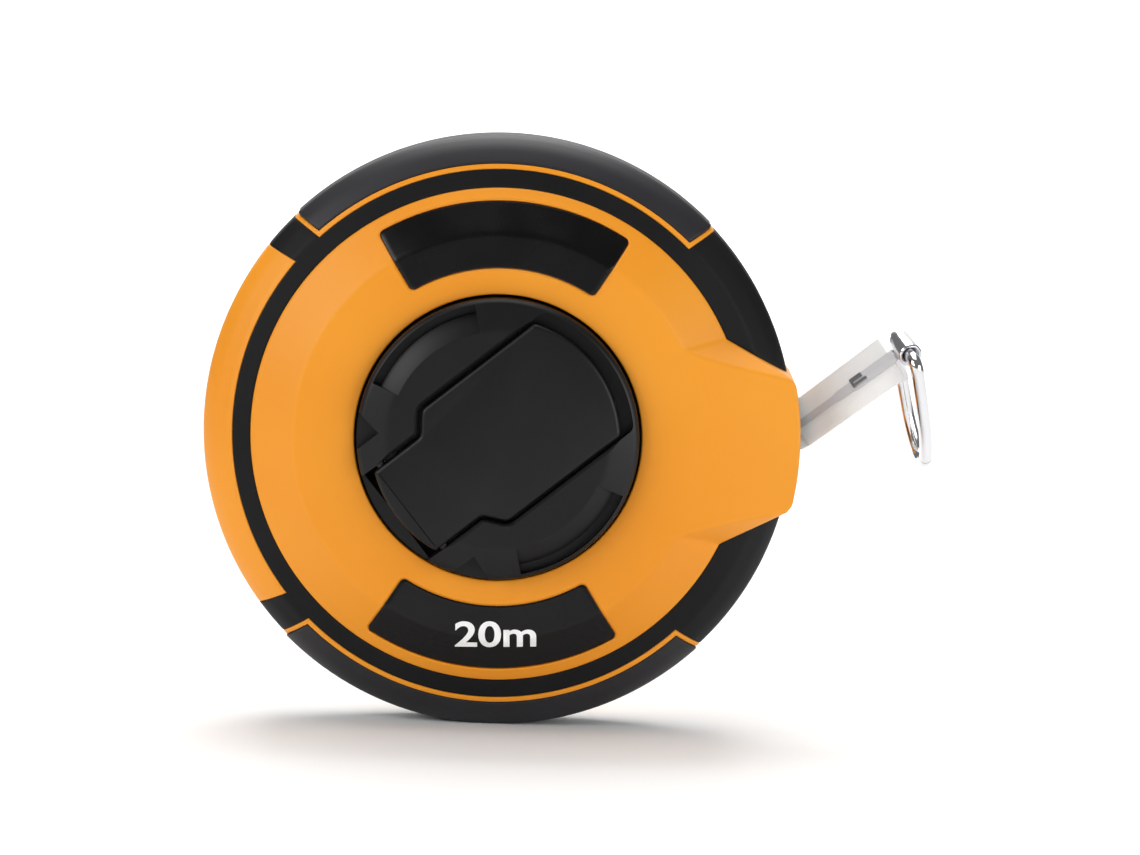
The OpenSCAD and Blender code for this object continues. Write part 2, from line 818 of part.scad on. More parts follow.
// direction of the ring about the barrel's axis: where it would hang, then turned outwards
fall = atan2(-sin(tape_angle), cos(barrel_turn) * cos(tape_angle)) + ring_hang;

module quarter_bend(r) {
    intersection() {
        rotate_extrude($fn = 96) translate([r, 0]) circle(r = wire_r, $fn = 48);
        translate([0, 0, -far / 2]) cube([far, far, far]);
    }
}

// wire loop: bar through the barrel, two bent shoulders, legs and a round end
module pull_ring() color("#d2d2d6") place() at_barrel() rotate([fall + 180, 0, 0]) {
    bend = 3.2;
    leg_end = ring_len - ring_half;
    rotate([0, 90, 0]) cylinder(r = wire_r, h = 2 * (ring_half - bend), center = true);
    for (side = [0, 1]) mirror([side, 0, 0]) {
        translate([ring_half - bend, -bend, 0]) quarter_bend(bend);
        translate([ring_half, -bend, 0]) rotate([90, 0, 0]) cylinder(r = wire_r, h = leg_end - bend);
    }
    translate([0, -leg_end, 0]) intersection() {
        rotate_extrude($fn = 96) translate([ring_half, 0]) circle(r = wire_r, $fn = 48);
        translate([-far / 2, -far, -far / 2]) cube(far);
    }
}

front_shell();
rear_shell();
front_bumper();
rear_bumper();
top_grip();
bottom_grip();
label_top();
label_bottom();
rear_label();
mouth_guide();
guide_pins();
case_screws();
reel_drum();
front_flange();
drag_washer();
spindle_washer();
spindle_screw();
tape_anchor();
tape_coil();
winding_hub();
hub_screws();
crank_arm();
crank_hinge_pin();
crank_knob();
knob_screw();
tape_lead();
end_sleeve();
end_strip();
strip_rivets();
ring_barrel();
pull_ring();
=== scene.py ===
"""Looks of a closed-case hand-wound tape measure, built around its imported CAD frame.

Shapes are worked out in the case's own frame, in millimetres: x towards the mouth, y up, z out of
the front, and z = 0 on the flat back. in_row() turns them into the frame's metres.
"""
import json

import bmesh
import bpy
import numpy as np
from mathutils import Matrix, Vector


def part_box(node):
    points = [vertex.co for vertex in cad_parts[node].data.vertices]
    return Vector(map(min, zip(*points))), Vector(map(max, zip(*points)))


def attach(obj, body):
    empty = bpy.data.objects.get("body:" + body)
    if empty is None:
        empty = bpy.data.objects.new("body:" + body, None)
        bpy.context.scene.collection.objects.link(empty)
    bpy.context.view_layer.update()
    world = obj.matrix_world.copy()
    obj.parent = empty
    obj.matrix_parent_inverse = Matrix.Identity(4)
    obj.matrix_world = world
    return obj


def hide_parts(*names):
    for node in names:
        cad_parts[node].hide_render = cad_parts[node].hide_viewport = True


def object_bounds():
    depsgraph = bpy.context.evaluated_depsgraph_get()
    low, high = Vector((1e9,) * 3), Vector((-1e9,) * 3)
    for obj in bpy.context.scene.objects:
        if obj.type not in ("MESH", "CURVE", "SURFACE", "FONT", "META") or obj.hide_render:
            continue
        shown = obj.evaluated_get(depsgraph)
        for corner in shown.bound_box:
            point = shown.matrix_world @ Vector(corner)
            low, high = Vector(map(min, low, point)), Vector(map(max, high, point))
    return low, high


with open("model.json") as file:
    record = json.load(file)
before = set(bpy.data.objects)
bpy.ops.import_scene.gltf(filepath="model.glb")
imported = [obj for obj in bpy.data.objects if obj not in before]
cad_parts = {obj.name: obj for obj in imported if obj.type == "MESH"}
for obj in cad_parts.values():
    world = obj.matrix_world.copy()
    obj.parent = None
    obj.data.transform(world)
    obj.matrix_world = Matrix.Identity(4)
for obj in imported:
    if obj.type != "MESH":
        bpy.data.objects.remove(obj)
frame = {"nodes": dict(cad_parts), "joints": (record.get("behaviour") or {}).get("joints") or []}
cad_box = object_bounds()
joints = {j["name"]: j for j in frame["joints"]}
pi = np.pi
rad = np.radians


def mm_box(node):
    """Lowest and highest corner of a CAD node in the case's frame."""
    low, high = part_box(node)
    return np.array([low.x, low.z, -high.y]) * 1000, np.array([high.x, high.z, -low.y]) * 1000


def in_case(v):
    """A row vector (a joint's place or axis) in the case's frame, units unchanged."""
    return np.array([v[0], v[2], -v[1]], float)


# ---------- sizes, in millimetres and degrees ----------
TIP_R = mm_box("front_shell")[1][0]
CASE_T = mm_box("front_shell")[1][2]
CASE_R = mm_box("top_grip")[1][1]
HUB_R = mm_box("winding_hub")[1][0]
HUB_TOP = mm_box("winding_hub")[1][2]
MID = CASE_T / 2
WALL = 2.4
SKIN = 1.0

# radii of the face, from the rim inwards
SHOULDER_R = CASE_R - 2.2
BAND_IN = CASE_R - 5.6
RING_OUT = CASE_R - 6.8
RING_IN = RING_OUT - 4.1
FLAT_R = RING_IN - 9.7
HOLE_R = HUB_R + 0.6
BEVEL_DROP = 6.3
RING_IN_Z = CASE_T - BEVEL_DROP
RING_OUT_Z = RING_IN_Z - 0.9
SHOULDER_Z = MID + 8.6
RIM_Z = MID + 5.6

# angles of the rim's sectors, and the slant of their ends
GRIP_HALF = 44.2
CRESCENT_HALF = 37.5
LINE_W = 1.2
END_SLANT = 0.23

# nose
NOSE_TIP_HALF = 12.4
NOSE_ROOT_HALF = 24.6
NOSE_APEX_HALF = 27.0
TIP_DROP = 1.6
EDGE_ROUND = 0.5

# labels
LABEL_IN = HOLE_R + 5.8
LABEL_OUT = RING_IN - 2.8
LABEL_HALF = 32.3
LABEL_SUNK = 0.5
TEXT_R = 44.2
TEXT_TURN = 1.9


# ---------- mesh helpers ----------
def in_row(points):
    """Case frame in mm to the row frame in metres: (x, y, z) goes to (x, -z, y) / 1000."""
    points = np.asarray(points, float)
    return np.stack([points[..., 0], -points[..., 2], points[..., 1]], -1) / 1000


def polar(r, degrees):
    """Point at radius r and angle in degrees about the reel's axis."""
    return np.stack([r * np.cos(rad(degrees)), r * np.sin(rad(degrees))], -1)


def grid_quads(rows, cols, wrap_rows=False, wrap_cols=False):
    """Quads of a rows x cols grid of points, closed on itself where asked."""
    i, j = np.meshgrid(
        np.arange(rows if wrap_rows else rows - 1), np.arange(cols if wrap_cols else cols - 1), indexing="ij"
    )
    i, j = i.ravel(), j.ravel()
    i2, j2 = (i + 1) % rows, (j + 1) % cols
    return np.stack([i * cols + j, i2 * cols + j, i2 * cols + j2, i * cols + j2], -1)


def merged(pieces):
    """Several (points, faces) as one: the faces' numbers move on by the points before them."""
    points, faces, start = [], [], 0
    for p, f in pieces:
        points.append(np.asarray(p, float).reshape(-1, 3))
        faces += [[start + k for k in face] for face in (f.tolist() if hasattr(f, "tolist") else f)]
        start += len(points[-1])
    return np.concatenate(points), faces


def mesh_object(name, points, faces, smooth_angle=32):
    """Closed mesh from case-frame points: doubles are merged, faces turned outwards, and edges
    sharper than smooth_angle keep a crease."""
    mesh = bpy.data.meshes.new(name)
    mesh.from_pydata(in_row(points).reshape(-1, 3), [], faces.tolist() if hasattr(faces, "tolist") else faces)
    work = bmesh.new()
    work.from_mesh(mesh)
    bmesh.ops.remove_doubles(work, verts=work.verts, dist=2e-6)
    bmesh.ops.dissolve_degenerate(work, edges=work.edges, dist=1e-7)
    bmesh.ops.recalc_face_normals(work, faces=work.faces)
    if work.calc_volume(signed=True) < 0:
        bmesh.ops.reverse_faces(work, faces=work.faces)
    work.to_mesh(mesh)
    work.free()
    piece = bpy.data.objects.new(name, mesh)
    bpy.context.scene.collection.objects.link(piece)
    creased(piece, smooth_angle)
    return piece


def creased(piece, smooth_angle):
    """Smooth shading, with a crease where two faces meet at more than smooth_angle degrees."""
    piece.data.polygons.foreach_set("use_smooth", np.ones(len(piece.data.polygons), bool))
    piece.data.set_sharp_from_angle(angle=rad(smooth_angle))


def applied(piece, smooth_angle=32):
    """The piece with its modifiers worked into its mesh."""
    bpy.context.view_layer.update()
    done = bpy.data.meshes.new_from_object(piece.evaluated_get(bpy.context.evaluated_depsgraph_get()))
    piece.modifiers.clear()
    piece.data = done
    creased(piece, smooth_angle)
    return piece


def cut(piece, cutters, smooth_angle=32, operation="DIFFERENCE"):
    """The piece less each cutter, by exact Boolean; the cutters are removed."""
    for cutter in cutters:
        step = piece.modifiers.new("cut", "BOOLEAN")
        step.operation = operation
        step.solver = "EXACT"
        step.object = cutter
        applied(piece, smooth_angle)
        bpy.data.objects.remove(cutter)
    work = bmesh.new()
    work.from_mesh(piece.data)
    bmesh.ops.remove_doubles(work, verts=work.verts, dist=4e-6)
    bmesh.ops.dissolve_degenerate(work, edges=work.edges, dist=1e-6)
    work.to_mesh(piece.data)
    work.free()
    creased(piece, smooth_angle)
    return piece


def bevelled(piece, width, segments=2, limit=40):
    """Rounds the piece's sharp edges by width in millimetres."""
    step = piece.modifiers.new("bevel", "BEVEL")
    step.width = width / 1000
    step.segments = segments
    step.limit_method = "ANGLE"
    step.angle_limit = rad(limit)
    step.use_clamp_overlap = True
    return applied(piece)


def fitted(piece, body, slot, material, *nodes):
    """Sets the piece's material and what it rides on, and hides the CAD nodes that it stands for. The slot is not used.
    """
    piece.data.materials.clear()
    piece.data.materials.append(material)
    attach(piece, body)
    if nodes:
        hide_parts(*nodes)
    return piece


# ---------- outlines and profiles ----------
def grow(outline, by):
    """A closed outline moved outwards by `by`: each corner goes along the mitre of its two sides."""
    side = np.roll(outline, -1, 0) - outline
    side /= np.linalg.norm(side, axis=1)[:, None]
    out = np.stack([side[:, 1], -side[:, 0]], -1)
    before = np.roll(out, 1, 0)
    return outline + by * (out + before) / (1 + (out * before).sum(1))[:, None]


def prism(outline, levels, surface=None):
    """Closed solid of stacked outlines: each level is (height, growth). With a surface, heights are
    measured from it at each point."""
    rings = []
    for height, by in levels:
        ring = grow(outline, by) if by else outline
        base = surface(ring[:, 0], ring[:, 1]) if surface else 0.0
        rings.append(np.column_stack([ring, np.broadcast_to(base + height, len(ring))]))
    n = len(outline)
    faces = grid_quads(len(levels), n, wrap_cols=True).tolist()
    faces += [list(range(n))[::-1], [(len(levels) - 1) * n + k for k in range(n)]]
    return np.array(rings).reshape(-1, 3), faces


def fillet(corners, cuts, steps=6):
    """Open line through corners with each inner corner rounded by a quadratic curve that starts
    `cut` before it and ends `cut` after it."""
    corners = np.asarray(corners, float)
    t = np.linspace(0, 1, steps)[:, None]
    line = [corners[:1]]
    for before, at, after, c in zip(corners[:-2], corners[1:-1], corners[2:], cuts):
        a = at + (before - at) * c / np.linalg.norm(before - at)
        b = at + (after - at) * c / np.linalg.norm(after - at)
        line.append((1 - t) ** 2 * a + 2 * t * (1 - t) * at + t**2 * b)
    line.append(corners[-1:])
    return np.concatenate(line)


def revolved(profile, sides=180, centre=(0.0, 0.0)):
    """Closed solid: a profile of (radius, height) points that starts and ends on the axis, or is a
    loop, carried round the z direction through centre."""
    profile = np.asarray(profile, float)
    turn = np.linspace(0, 2 * pi, sides, endpoint=False)[:, None]
    points = np.stack([
        centre[0] + profile[:, 0] * np.cos(turn),
        centre[1] + profile[:, 0] * np.sin(turn),
        np.broadcast_to(profile[:, 1], (sides, len(profile))),
    ], -1)
    loop = profile[0, 0] > 0
    return points.reshape(-1, 3), grid_quads(sides, len(profile), wrap_rows=True, wrap_cols=loop)


def smooth_min(a, b, k):
    """The lesser of a and b, blended where they are within k of each other."""
    h = np.clip(0.5 + 0.5 * (b - a) / k, 0, 1)
    return b * (1 - h) + a * h - k * h * (1 - h)


def smooth_max(a, b, k):
    """The greater of a and b, blended where they are within k of each other."""
    return -smooth_min(-a, -b, k)


def rounding(distance, radius):
    """Drop of a rounded edge at a distance inwards from it: a quarter circle of that radius."""
    x = np.clip(radius - distance, 0, radius)
    return radius - np.sqrt(np.maximum(radius**2 - x**2, 0))


# ---------- the case's surface ----------
def turned_point(r, a):
    """(x, y) at radius r and angle a in degrees."""
    return r * np.cos(rad(a)), r * np.sin(rad(a))


nose_apex = polar(FLAT_R, NOSE_APEX_HALF)
nose_root = polar(RING_IN, NOSE_ROOT_HALF)
nose_corner = polar(TIP_R, NOSE_TIP_HALF)
flank = (nose_corner - nose_root) / np.linalg.norm(nose_corner - nose_root)
slope_x = FLAT_R + 4
facet_normal = np.cross(
    [*(nose_corner - nose_apex), -TIP_DROP], [*(nose_root - nose_apex), -BEVEL_DROP]
)


def nose_height(x, y):
    """Top of the nose: a flat that slopes down to the tip, cut by one facet on each side that runs
    from the disc's edge to the ring band and the tip's corner."""
    top = CASE_T - TIP_DROP / (nose_corner[0] - slope_x) * smooth_max(x - slope_x, 0 * x, 3)
    facet = CASE_T - (facet_normal[0] * (x - nose_apex[0]) + facet_normal[1] * (np.abs(y) - nose_apex[1])
                      ) / facet_normal[2]
    return smooth_min(top, facet, 0.5)


def disc_height(r):
    """Flat disc, a soft crease, and the bevel down to the ring band."""
    return smooth_min(0 * r + CASE_T, CASE_T - BEVEL_DROP * (r - FLAT_R) / (RING_IN - FLAT_R), 0.4)


def face_height(x, y):
    """Height of the case's face inside the ring band."""
    facing = np.where(x > 0, nose_height(np.maximum(x, 0), y), 0)
    return smooth_max(disc_height(np.hypot(x, y)), facing, 0.3)


def flank_angle(r):
    """Angle in degrees at which the nose's flank crosses radius r, from the ring band outwards."""
    r = np.clip(r, RING_IN, TIP_R)
    along = nose_root @ flank
    t = -along + np.sqrt(along**2 - nose_root @ nose_root + r**2)
    return np.degrees(np.arctan2(nose_root[1] + t * flank[1], nose_root[0] + t * flank[0]))


def rim_angle(u, r):
    """Angle at radius r of the grid line u: lines near the nose follow its flank, and lines near the
    sectors' ends lean towards the middle of the grips as they go in."""
    size, side = np.abs(u), np.sign(u)
    at_flank = flank_angle(r)
    fan = np.where(
        size < NOSE_ROOT_HALF,
        size * at_flank / NOSE_ROOT_HALF,
        at_flank + (size - NOSE_ROOT_HALF) * (40 - at_flank) / (40 - NOSE_ROOT_HALF),
    )
    lean = np.interp(size, [NOSE_ROOT_HALF, 41, 52, 80, 100, 126, 148, 170], [0, 1, 1, 0, 0, -1, -1, 0])
    slant = END_SLANT * (CASE_R - np.minimum(r, CASE_R)) / CASE_R * (r > RING_OUT - 1)
    return side * (np.where(size < 40, fan, size) + np.degrees(lean * slant))


# profile of the rim: from the ring band's inner edge over shoulder and rim to the middle plane
rim_line = fillet(
    [(RING_IN, RING_IN_Z), (RING_OUT + 0.9, RING_OUT_Z - 0.25), (SHOULDER_R, SHOULDER_Z), (CASE_R, RIM_Z),
     (CASE_R, MID)],
    (0.5, 1.3, 1.5),
)
rim_reach = np.concatenate([[0], np.cumsum(np.linalg.norm(np.diff(rim_line, axis=0), axis=1))])
RIM_LEN = rim_reach[-1]
TOP_LEN = RIM_LEN - (RIM_Z - MID)
S_RING_OUT = np.interp(RING_OUT, rim_line[:, 0], rim_reach)
S_BAND_IN = np.interp(BAND_IN, rim_line[:, 0], rim_reach)


def rim_point(s, sunk=0.0):
    """Radius and height at distance s along the rim's profile, `sunk` under the surface."""
    r, z = np.interp(s, rim_reach, rim_line[:, 0]), np.interp(s, rim_reach, rim_line[:, 1])
    step = 0.25
    r1, z1 = np.interp(s - step, rim_reach, rim_line[:, 0]), np.interp(s - step, rim_reach, rim_line[:, 1])
    r2, z2 = np.interp(s + step, rim_reach, rim_line[:, 0]), np.interp(s + step, rim_reach, rim_line[:, 1])
    length = np.hypot(r2 - r1, z2 - z1)
    return r + sunk * (z2 - z1) / length, z - sunk * (r2 - r1) / length


def sector_gap(u, s):
    """Signed distance in mm, negative inside, to the room sunk for ring band, rim skin and grips."""
    u, s = np.broadcast_arrays(u, s)
    size = np.abs(u)
    mm = CASE_R * pi / 180
    grip_start, grip_end = 90 - GRIP_HALF, 90 + GRIP_HALF
    line = LINE_W / mm
    ring = np.maximum.reduce([-s, s - S_RING_OUT, (NOSE_ROOT_HALF - size) * mm])
    front = np.maximum.reduce([S_RING_OUT - 0.2 - s, (NOSE_ROOT_HALF - size) * mm, (size - grip_start + line) * mm])
    back = np.maximum.reduce([
        S_RING_OUT - 0.2 - s, (grip_end + line - size) * mm, (size - 180 + CRESCENT_HALF) * mm
    ])
    grip = np.maximum.reduce([S_BAND_IN - s, (grip_start - size) * mm, (size - grip_end) * mm])
    return np.minimum.reduce([ring, front, back, grip])


def with_edges(base, edges, offsets):
    """Grid values: the base ones and, at each edge, the edge plus each offset; close ones removed."""
    close = [e + o for e in edges for o in offsets]
    kept = [b for b in base if min(abs(b - c) for c in close) > 0.12]
    return np.array(sorted(set(np.round(kept + close, 4))))


EDGE_STEPS = (-0.45, -0.2, -0.06, -0.015, 0.015, 0.06, 0.2, 0.45)
half_edges = [NOSE_ROOT_HALF, 90 - GRIP_HALF - 1.04, 90 - GRIP_HALF, 90 + GRIP_HALF, 90 + GRIP_HALF + 1.04,
              180 - CRESCENT_HALF]
half_base = [*np.arange(0.2, 24.3, 0.4), *np.arange(25.1, 40, 0.5), *np.arange(40, 180.1, 1.0)]
half_lines = with_edges(half_base, half_edges, EDGE_STEPS)
CASE_LINES = np.concatenate([-half_lines[::-1][1:], half_lines])


def case_shell(name, rear):
    """One half of the case as a closed grid. Each line u carries a loop: the face from its inner edge
    to the ring band, the rim down to the middle plane, and the wall's inner side back. Outside the
    nose's flanks the rim follows rim_point, sunk where a soft part lies; between them it is the
    nose's top, a rounded edge and its upright tip."""
    inner = 0.0 if rear else HOLE_R
    face_r = np.concatenate([
        [inner, inner + 0.06, inner + 0.16, inner + 0.4],
        np.linspace(inner + 2, 43.5, 12 if rear else 6),
        np.arange(44.1, RING_IN - 0.5, 0.42), [RING_IN - 0.45, RING_IN - 0.2, RING_IN - 0.06, RING_IN - 0.015],
    ])
    u = CASE_LINES[:, None]
    side = np.sign(u)
    on_nose = np.abs(u) < NOSE_ROOT_HALF
    angle = rim_angle(u, face_r[None, :])
    x, y = turned_point(face_r[None, :], angle)
    z = face_height(x, y) - rounding(RING_IN - face_r, 0.3)[None, :] * ~on_nose
    if not rear:
        z = z - rounding(face_r - inner, 0.35)[None, :]
    face = np.stack([x, y, z], -1)

    s_top = with_edges(np.linspace(0.02, TOP_LEN, 34), [S_RING_OUT, S_BAND_IN], EDGE_STEPS[1:-1])
    s_top = np.concatenate([[0.015, 0.06, 0.2], s_top[s_top > 0.4]])
    gap = sector_gap(u, s_top[None, :])
    sunk = np.where(gap < 0, SKIN, rounding(np.maximum(gap, 0), 0.3))
    r, z = rim_point(s_top[None, :] + 0 * u, sunk)
    x, y = turned_point(r, rim_angle(u + 0 * r, np.minimum(r, CASE_R)))
    end_r = TIP_R - 0.9 * np.clip((np.abs(u) - 22.1) / 2.5, 0, 1) ** 2
    share = np.clip(s_top[None, :] / TOP_LEN, 0, 1)
    nose_r = RING_IN + (end_r - RING_IN) * (1 - (1 - share) ** 1.35)
    nose_x, nose_y = turned_point(nose_r, rim_angle(u + 0 * nose_r, nose_r))
    to_flank = np.abs((nose_x - nose_root[0]) * flank[1] - (np.abs(nose_y) - nose_root[1]) * flank[0])
    to_edge = smooth_min(to_flank, end_r - nose_r, 0.4)
    nose_z = nose_height(nose_x, nose_y) - rounding(np.maximum(to_edge, 0), EDGE_ROUND)
    nose_z = np.maximum(nose_z, np.interp(nose_r, rim_line[:-1, 0], rim_line[:-1, 1]))
    top = np.where(
        on_nose[..., None], np.stack([nose_x, nose_y, nose_z], -1), np.stack([x, y, z], -1)
    )

    t = np.linspace(0, 1, 9)[1:]
    s_side = TOP_LEN + (RIM_LEN - TOP_LEN) * t
    gap = sector_gap(u, s_side[None, :])
    r, _ = rim_point(s_side[None, :] + 0 * u, np.where(gap < 0, SKIN, rounding(np.maximum(gap, 0), 0.3)))
    x, y = turned_point(r, rim_angle(u + 0 * r, np.minimum(r, CASE_R)))
    last = top[:, -1:, :]
    upright = np.stack([
        np.where(on_nose, last[..., 0], x), np.where(on_nose, last[..., 1], y), last[..., 2] + (MID - last[..., 2]) * t
    ], -1)

    wall_r = np.hypot(upright[:, -1:, 0], upright[:, -1:, 1]) - WALL
    inner_share = np.array([1, 1, 1, 0.985, 0.9, 0.8, 0.7, 0.6, 0.5, 0.4, 0.2, 0])
    inner_r = np.maximum(inner, inner + (wall_r - inner) * inner_share)
    x, y = turned_point(inner_r, rim_angle(u + 0 * inner_r, np.minimum(inner_r, CASE_R)))
    under = np.where(
        on_nose, nose_height(x, y),
        np.minimum(disc_height(inner_r), np.interp(inner_r, rim_line[:-1, 0], rim_line[:-1, 1])),
    )
    under = np.where(inner_r < RING_IN, face_height(x, y), under) - WALL - SKIN
    z = np.concatenate([0 * u + MID, (MID + under[:, 1:2]) / 2, under[:, 2:3] - 1.0, under[:, 3:]], 1)
    inside = np.stack([x, y, z], -1)

    points = np.concatenate([face, top, upright, inside], 1)
    if rear:
        points[..., 2] = CASE_T - points[..., 2]
    rows, cols = points.shape[:2]
    return mesh_object(name, points.reshape(-1, 3), grid_quads(rows, cols, wrap_rows=True, wrap_cols=True), 35)


# ---------- slabs and stacks ----------
def slab(outer, inner, mask=None, wrap_rows=False):
    """Closed solid between two grids of the same size, over the cells that mask keeps: both faces,
    and a wall along every edge between a kept cell and a dropped one."""
    rows, cols = outer.shape[:2]
    cells = (rows if wrap_rows else rows - 1, cols - 1)
    keep = np.ones(cells, bool) if mask is None else mask
    quads = grid_quads(rows, cols, wrap_rows=wrap_rows).reshape(*cells, 4)
    n = rows * cols
    faces = [quads[keep], quads[keep][:, ::-1] + n]
    around = np.pad(keep, 1)
    if wrap_rows:
        around[0], around[-1] = around[-2], around[1]
    for (di, dj), (a, b) in {(-1, 0): (0, 3), (1, 0): (2, 1), (0, -1): (1, 0), (0, 1): (3, 2)}.items():
        edge = quads[keep & ~around[1 + di:cells[0] + 1 + di, 1 + dj:cells[1] + 1 + dj]]
        faces.append(np.stack([edge[:, b], edge[:, a], edge[:, a] + n, edge[:, b] + n], -1))
    faces = np.concatenate(faces)
    used, faces = np.unique(faces, return_inverse=True)
    points = np.concatenate([outer.reshape(-1, 3), inner.reshape(-1, 3)])[used]
    return points, faces.reshape(-1, 4)


def stack(grids):
    """Closed solid of stacked grids: the first and last are its faces, and walls join the borders of
    each to the next."""
    levels, rows, cols = grids.shape[:3]
    index = np.arange(rows * cols).reshape(rows, cols)
    border = np.concatenate([index[0, :-1], index[:-1, -1], index[-1, :0:-1], index[:0:-1, 0]])
    quads = grid_quads(rows, cols)
    faces = [quads[:, ::-1], quads + (levels - 1) * rows * cols]
    for level in range(levels - 1):
        low, high = border + level * rows * cols, border + (level + 1) * rows * cols
        faces.append(np.stack([low, np.roll(low, -1), np.roll(high, -1), high], -1))
    used, faces = np.unique(np.concatenate(faces), return_inverse=True)
    return grids.reshape(-1, 3)[used], faces.reshape(-1, 4)


def label_stack(middle, levels, corner=1.2):
    """Sector of a ring about the angle `middle`, with rounded corners: each level is (height over the
    case's face, growth in plan). Near its inner and outer edge the sector narrows by a quarter circle."""
    share = np.concatenate([[0, 0.003, 0.012, 0.035, 0.07], np.linspace(0.11, 0.89, 34), [0.93, 0.965, 0.988, 0.997, 1]])
    across = np.linspace(-1, 1, 60)
    grids = []
    for height, by in levels:
        r = LABEL_IN - by + (LABEL_OUT - LABEL_IN + 2 * by) * share
        to_end = np.minimum(r - r[0], r[-1] - r)
        half = LABEL_HALF + np.degrees((by - rounding(to_end, corner + by)) / r)
        x, y = turned_point(r[:, None], middle + half[:, None] * across)
        grids.append(np.stack([x, y, disc_height(r)[:, None] + height + 0 * x], -1))
    return stack(np.array(grids))


# ---------- pieces of the case ----------
CLEAR = 0.07


def rim_skin(name, rear):
    """Soft overmould of one half: the ring band all round, and the rim's sectors between the nose,
    the grips and the bare crescent, as one slab on the sunk part of the case."""
    mm = CASE_R * pi / 180
    gap = CLEAR / mm
    ends = [90 - GRIP_HALF - LINE_W / mm - gap, 90 + GRIP_HALF + LINE_W / mm + gap, 180 - CRESCENT_HALF - gap]
    half = with_edges(np.linspace(NOSE_ROOT_HALF + gap, 180, 157), ends, [0.0])
    u = np.concatenate([half, (360 - half)[::-1][1:]])
    s_edges = [CLEAR, S_RING_OUT - CLEAR]
    s = np.array([*np.linspace(s_edges[0], s_edges[1], 9), *np.linspace(s_edges[1] + 0.5, TOP_LEN, 18),
                  *np.linspace(TOP_LEN, RIM_LEN - 0.05, 5)[1:]])
    u_signed = ((u + 180) % 360 - 180)[:, None]
    sheets = []
    for sunk in (0.0, SKIN - 0.05):
        r, z = rim_point(s[None, :] + 0 * u_signed, sunk)
        x, y = turned_point(r, rim_angle(u_signed + 0 * r, np.minimum(r, CASE_R)))
        sheets.append(np.stack([x, y, CASE_T - z if rear else z], -1))
    mid_u = 180 - np.abs(180 - (u[1:] + u[:-1]) / 2)
    on_rim = (mid_u < ends[0]) | ((mid_u > ends[1]) & (mid_u < ends[2]))
    mid_s = (s[1:] + s[:-1]) / 2
    mask = (mid_s[None, :] < s_edges[1]) | on_rim[:, None]
    return bevelled(mesh_object(name, *slab(*sheets, mask)), 0.22)


def rim_grip(name, side):
    """Rubber grip: a saddle over the rim from face to face, a little crowned, with rounded edges."""
    mm = CASE_R * pi / 180
    u = np.linspace(90 - GRIP_HALF + CLEAR / mm, 90 + GRIP_HALF - CLEAR / mm, 91)[:, None]
    s0 = S_BAND_IN + CLEAR
    half = np.concatenate([np.linspace(s0, TOP_LEN, 18), np.linspace(TOP_LEN, RIM_LEN, 5)[1:]])
    sheets = []
    for rise, sunk in ((0.45, 0.0), (0.0, SKIN - 0.05)):
        crown = rise * np.sin(pi * np.clip((half - s0) / (RIM_LEN - s0), 0, 1)) ** 0.8
        r, z = rim_point(half, sunk - crown)
        r, z = np.concatenate([r, r[-2::-1]]), np.concatenate([z, CASE_T - z[-2::-1]])
        x, y = turned_point(r[None, :], rim_angle(u + 0 * r, np.minimum(r, CASE_R)[None, :]))
        sheets.append(np.stack([x, side * y, z[None, :] + 0 * x], -1))
    return bevelled(mesh_object(name, *slab(*sheets)), 0.45, segments=3, limit=50)


def label_plate(name, middle):
    """Label plate in its window: follows the face, sunk, with a rounded edge."""
    top = -LABEL_SUNK
    return mesh_object(name, *label_stack(middle, [(top - 0.65, -0.1), (top - 0.2, -0.1), (top - 0.06, -0.14),
                                                   (top, -0.3)]))


def label_window(middle):
    """Cutter for a label's window: upright walls, then a chamfer that opens at the face."""
    return mesh_object("window", *label_stack(middle, [(-1.2, 0.1), (-0.4, 0.1), (0.0, 0.5), (2.0, 2.5)]))


def mouth_cutter():
    """Box that opens both halves round the mouth's frame."""
    low, high = mm_box("mouth_guide")
    corners = np.array([[low[0] - 1, low[1]], [high[0] + 5, low[1]], [high[0] + 5, high[1]], [low[0] - 1, high[1]]])
    return mesh_object("mouth", *prism(corners, [(low[2], 0), (high[2], 0)]))


screw_spots = [polar(RING_IN - 3.0, 30 + 60 * k) for k in range(6)] + [polar(CASE_R - 8.3, 12.5)]


def rear_case():
    """Rear half with a tube round each screw, its counterbore, and the sunk place of the label."""
    piece = case_shell("rear_case", rear=True)
    tubes = merged([revolved([(0, 5.4), (4.0, 5.4), (4.0, 8.6), (0, 8.6)], 32, p) for p in screw_spots[:6]]
                   + [revolved([(0, 2.6), (4.0, 2.6), (4.0, 8.6), (0, 8.6)], 32, screw_spots[6])])
    bores = merged([revolved([(0, -1), (2.9, -1), (2.9, 7), (1.7, 7), (1.7, 12), (0, 12)], 29, p)
                    for p in screw_spots])
    disc = revolved([(0, -1), (29.0, -1), (28.05, -0.02), (27.95, 0.8), (0, 0.8)])
    cut(piece, [mesh_object("tubes", *tubes)], operation="UNION")
    return cut(piece, [mesh_object("bores", *bores), mesh_object("sink", *disc), mouth_cutter()])


def rear_plate():
    """Disc in the flat back, level with it, with a rounded edge and a fine groove."""
    return mesh_object("rear_plate", *revolved([
        (0, 0.75), (27.85, 0.75), (27.85, 0.3), (27.78, 0.12), (27.6, 0.02), (27.4, 0),
        (24.0, 0), (23.85, 0.2), (23.5, 0.2), (23.35, 0), (0, 0)
    ]))


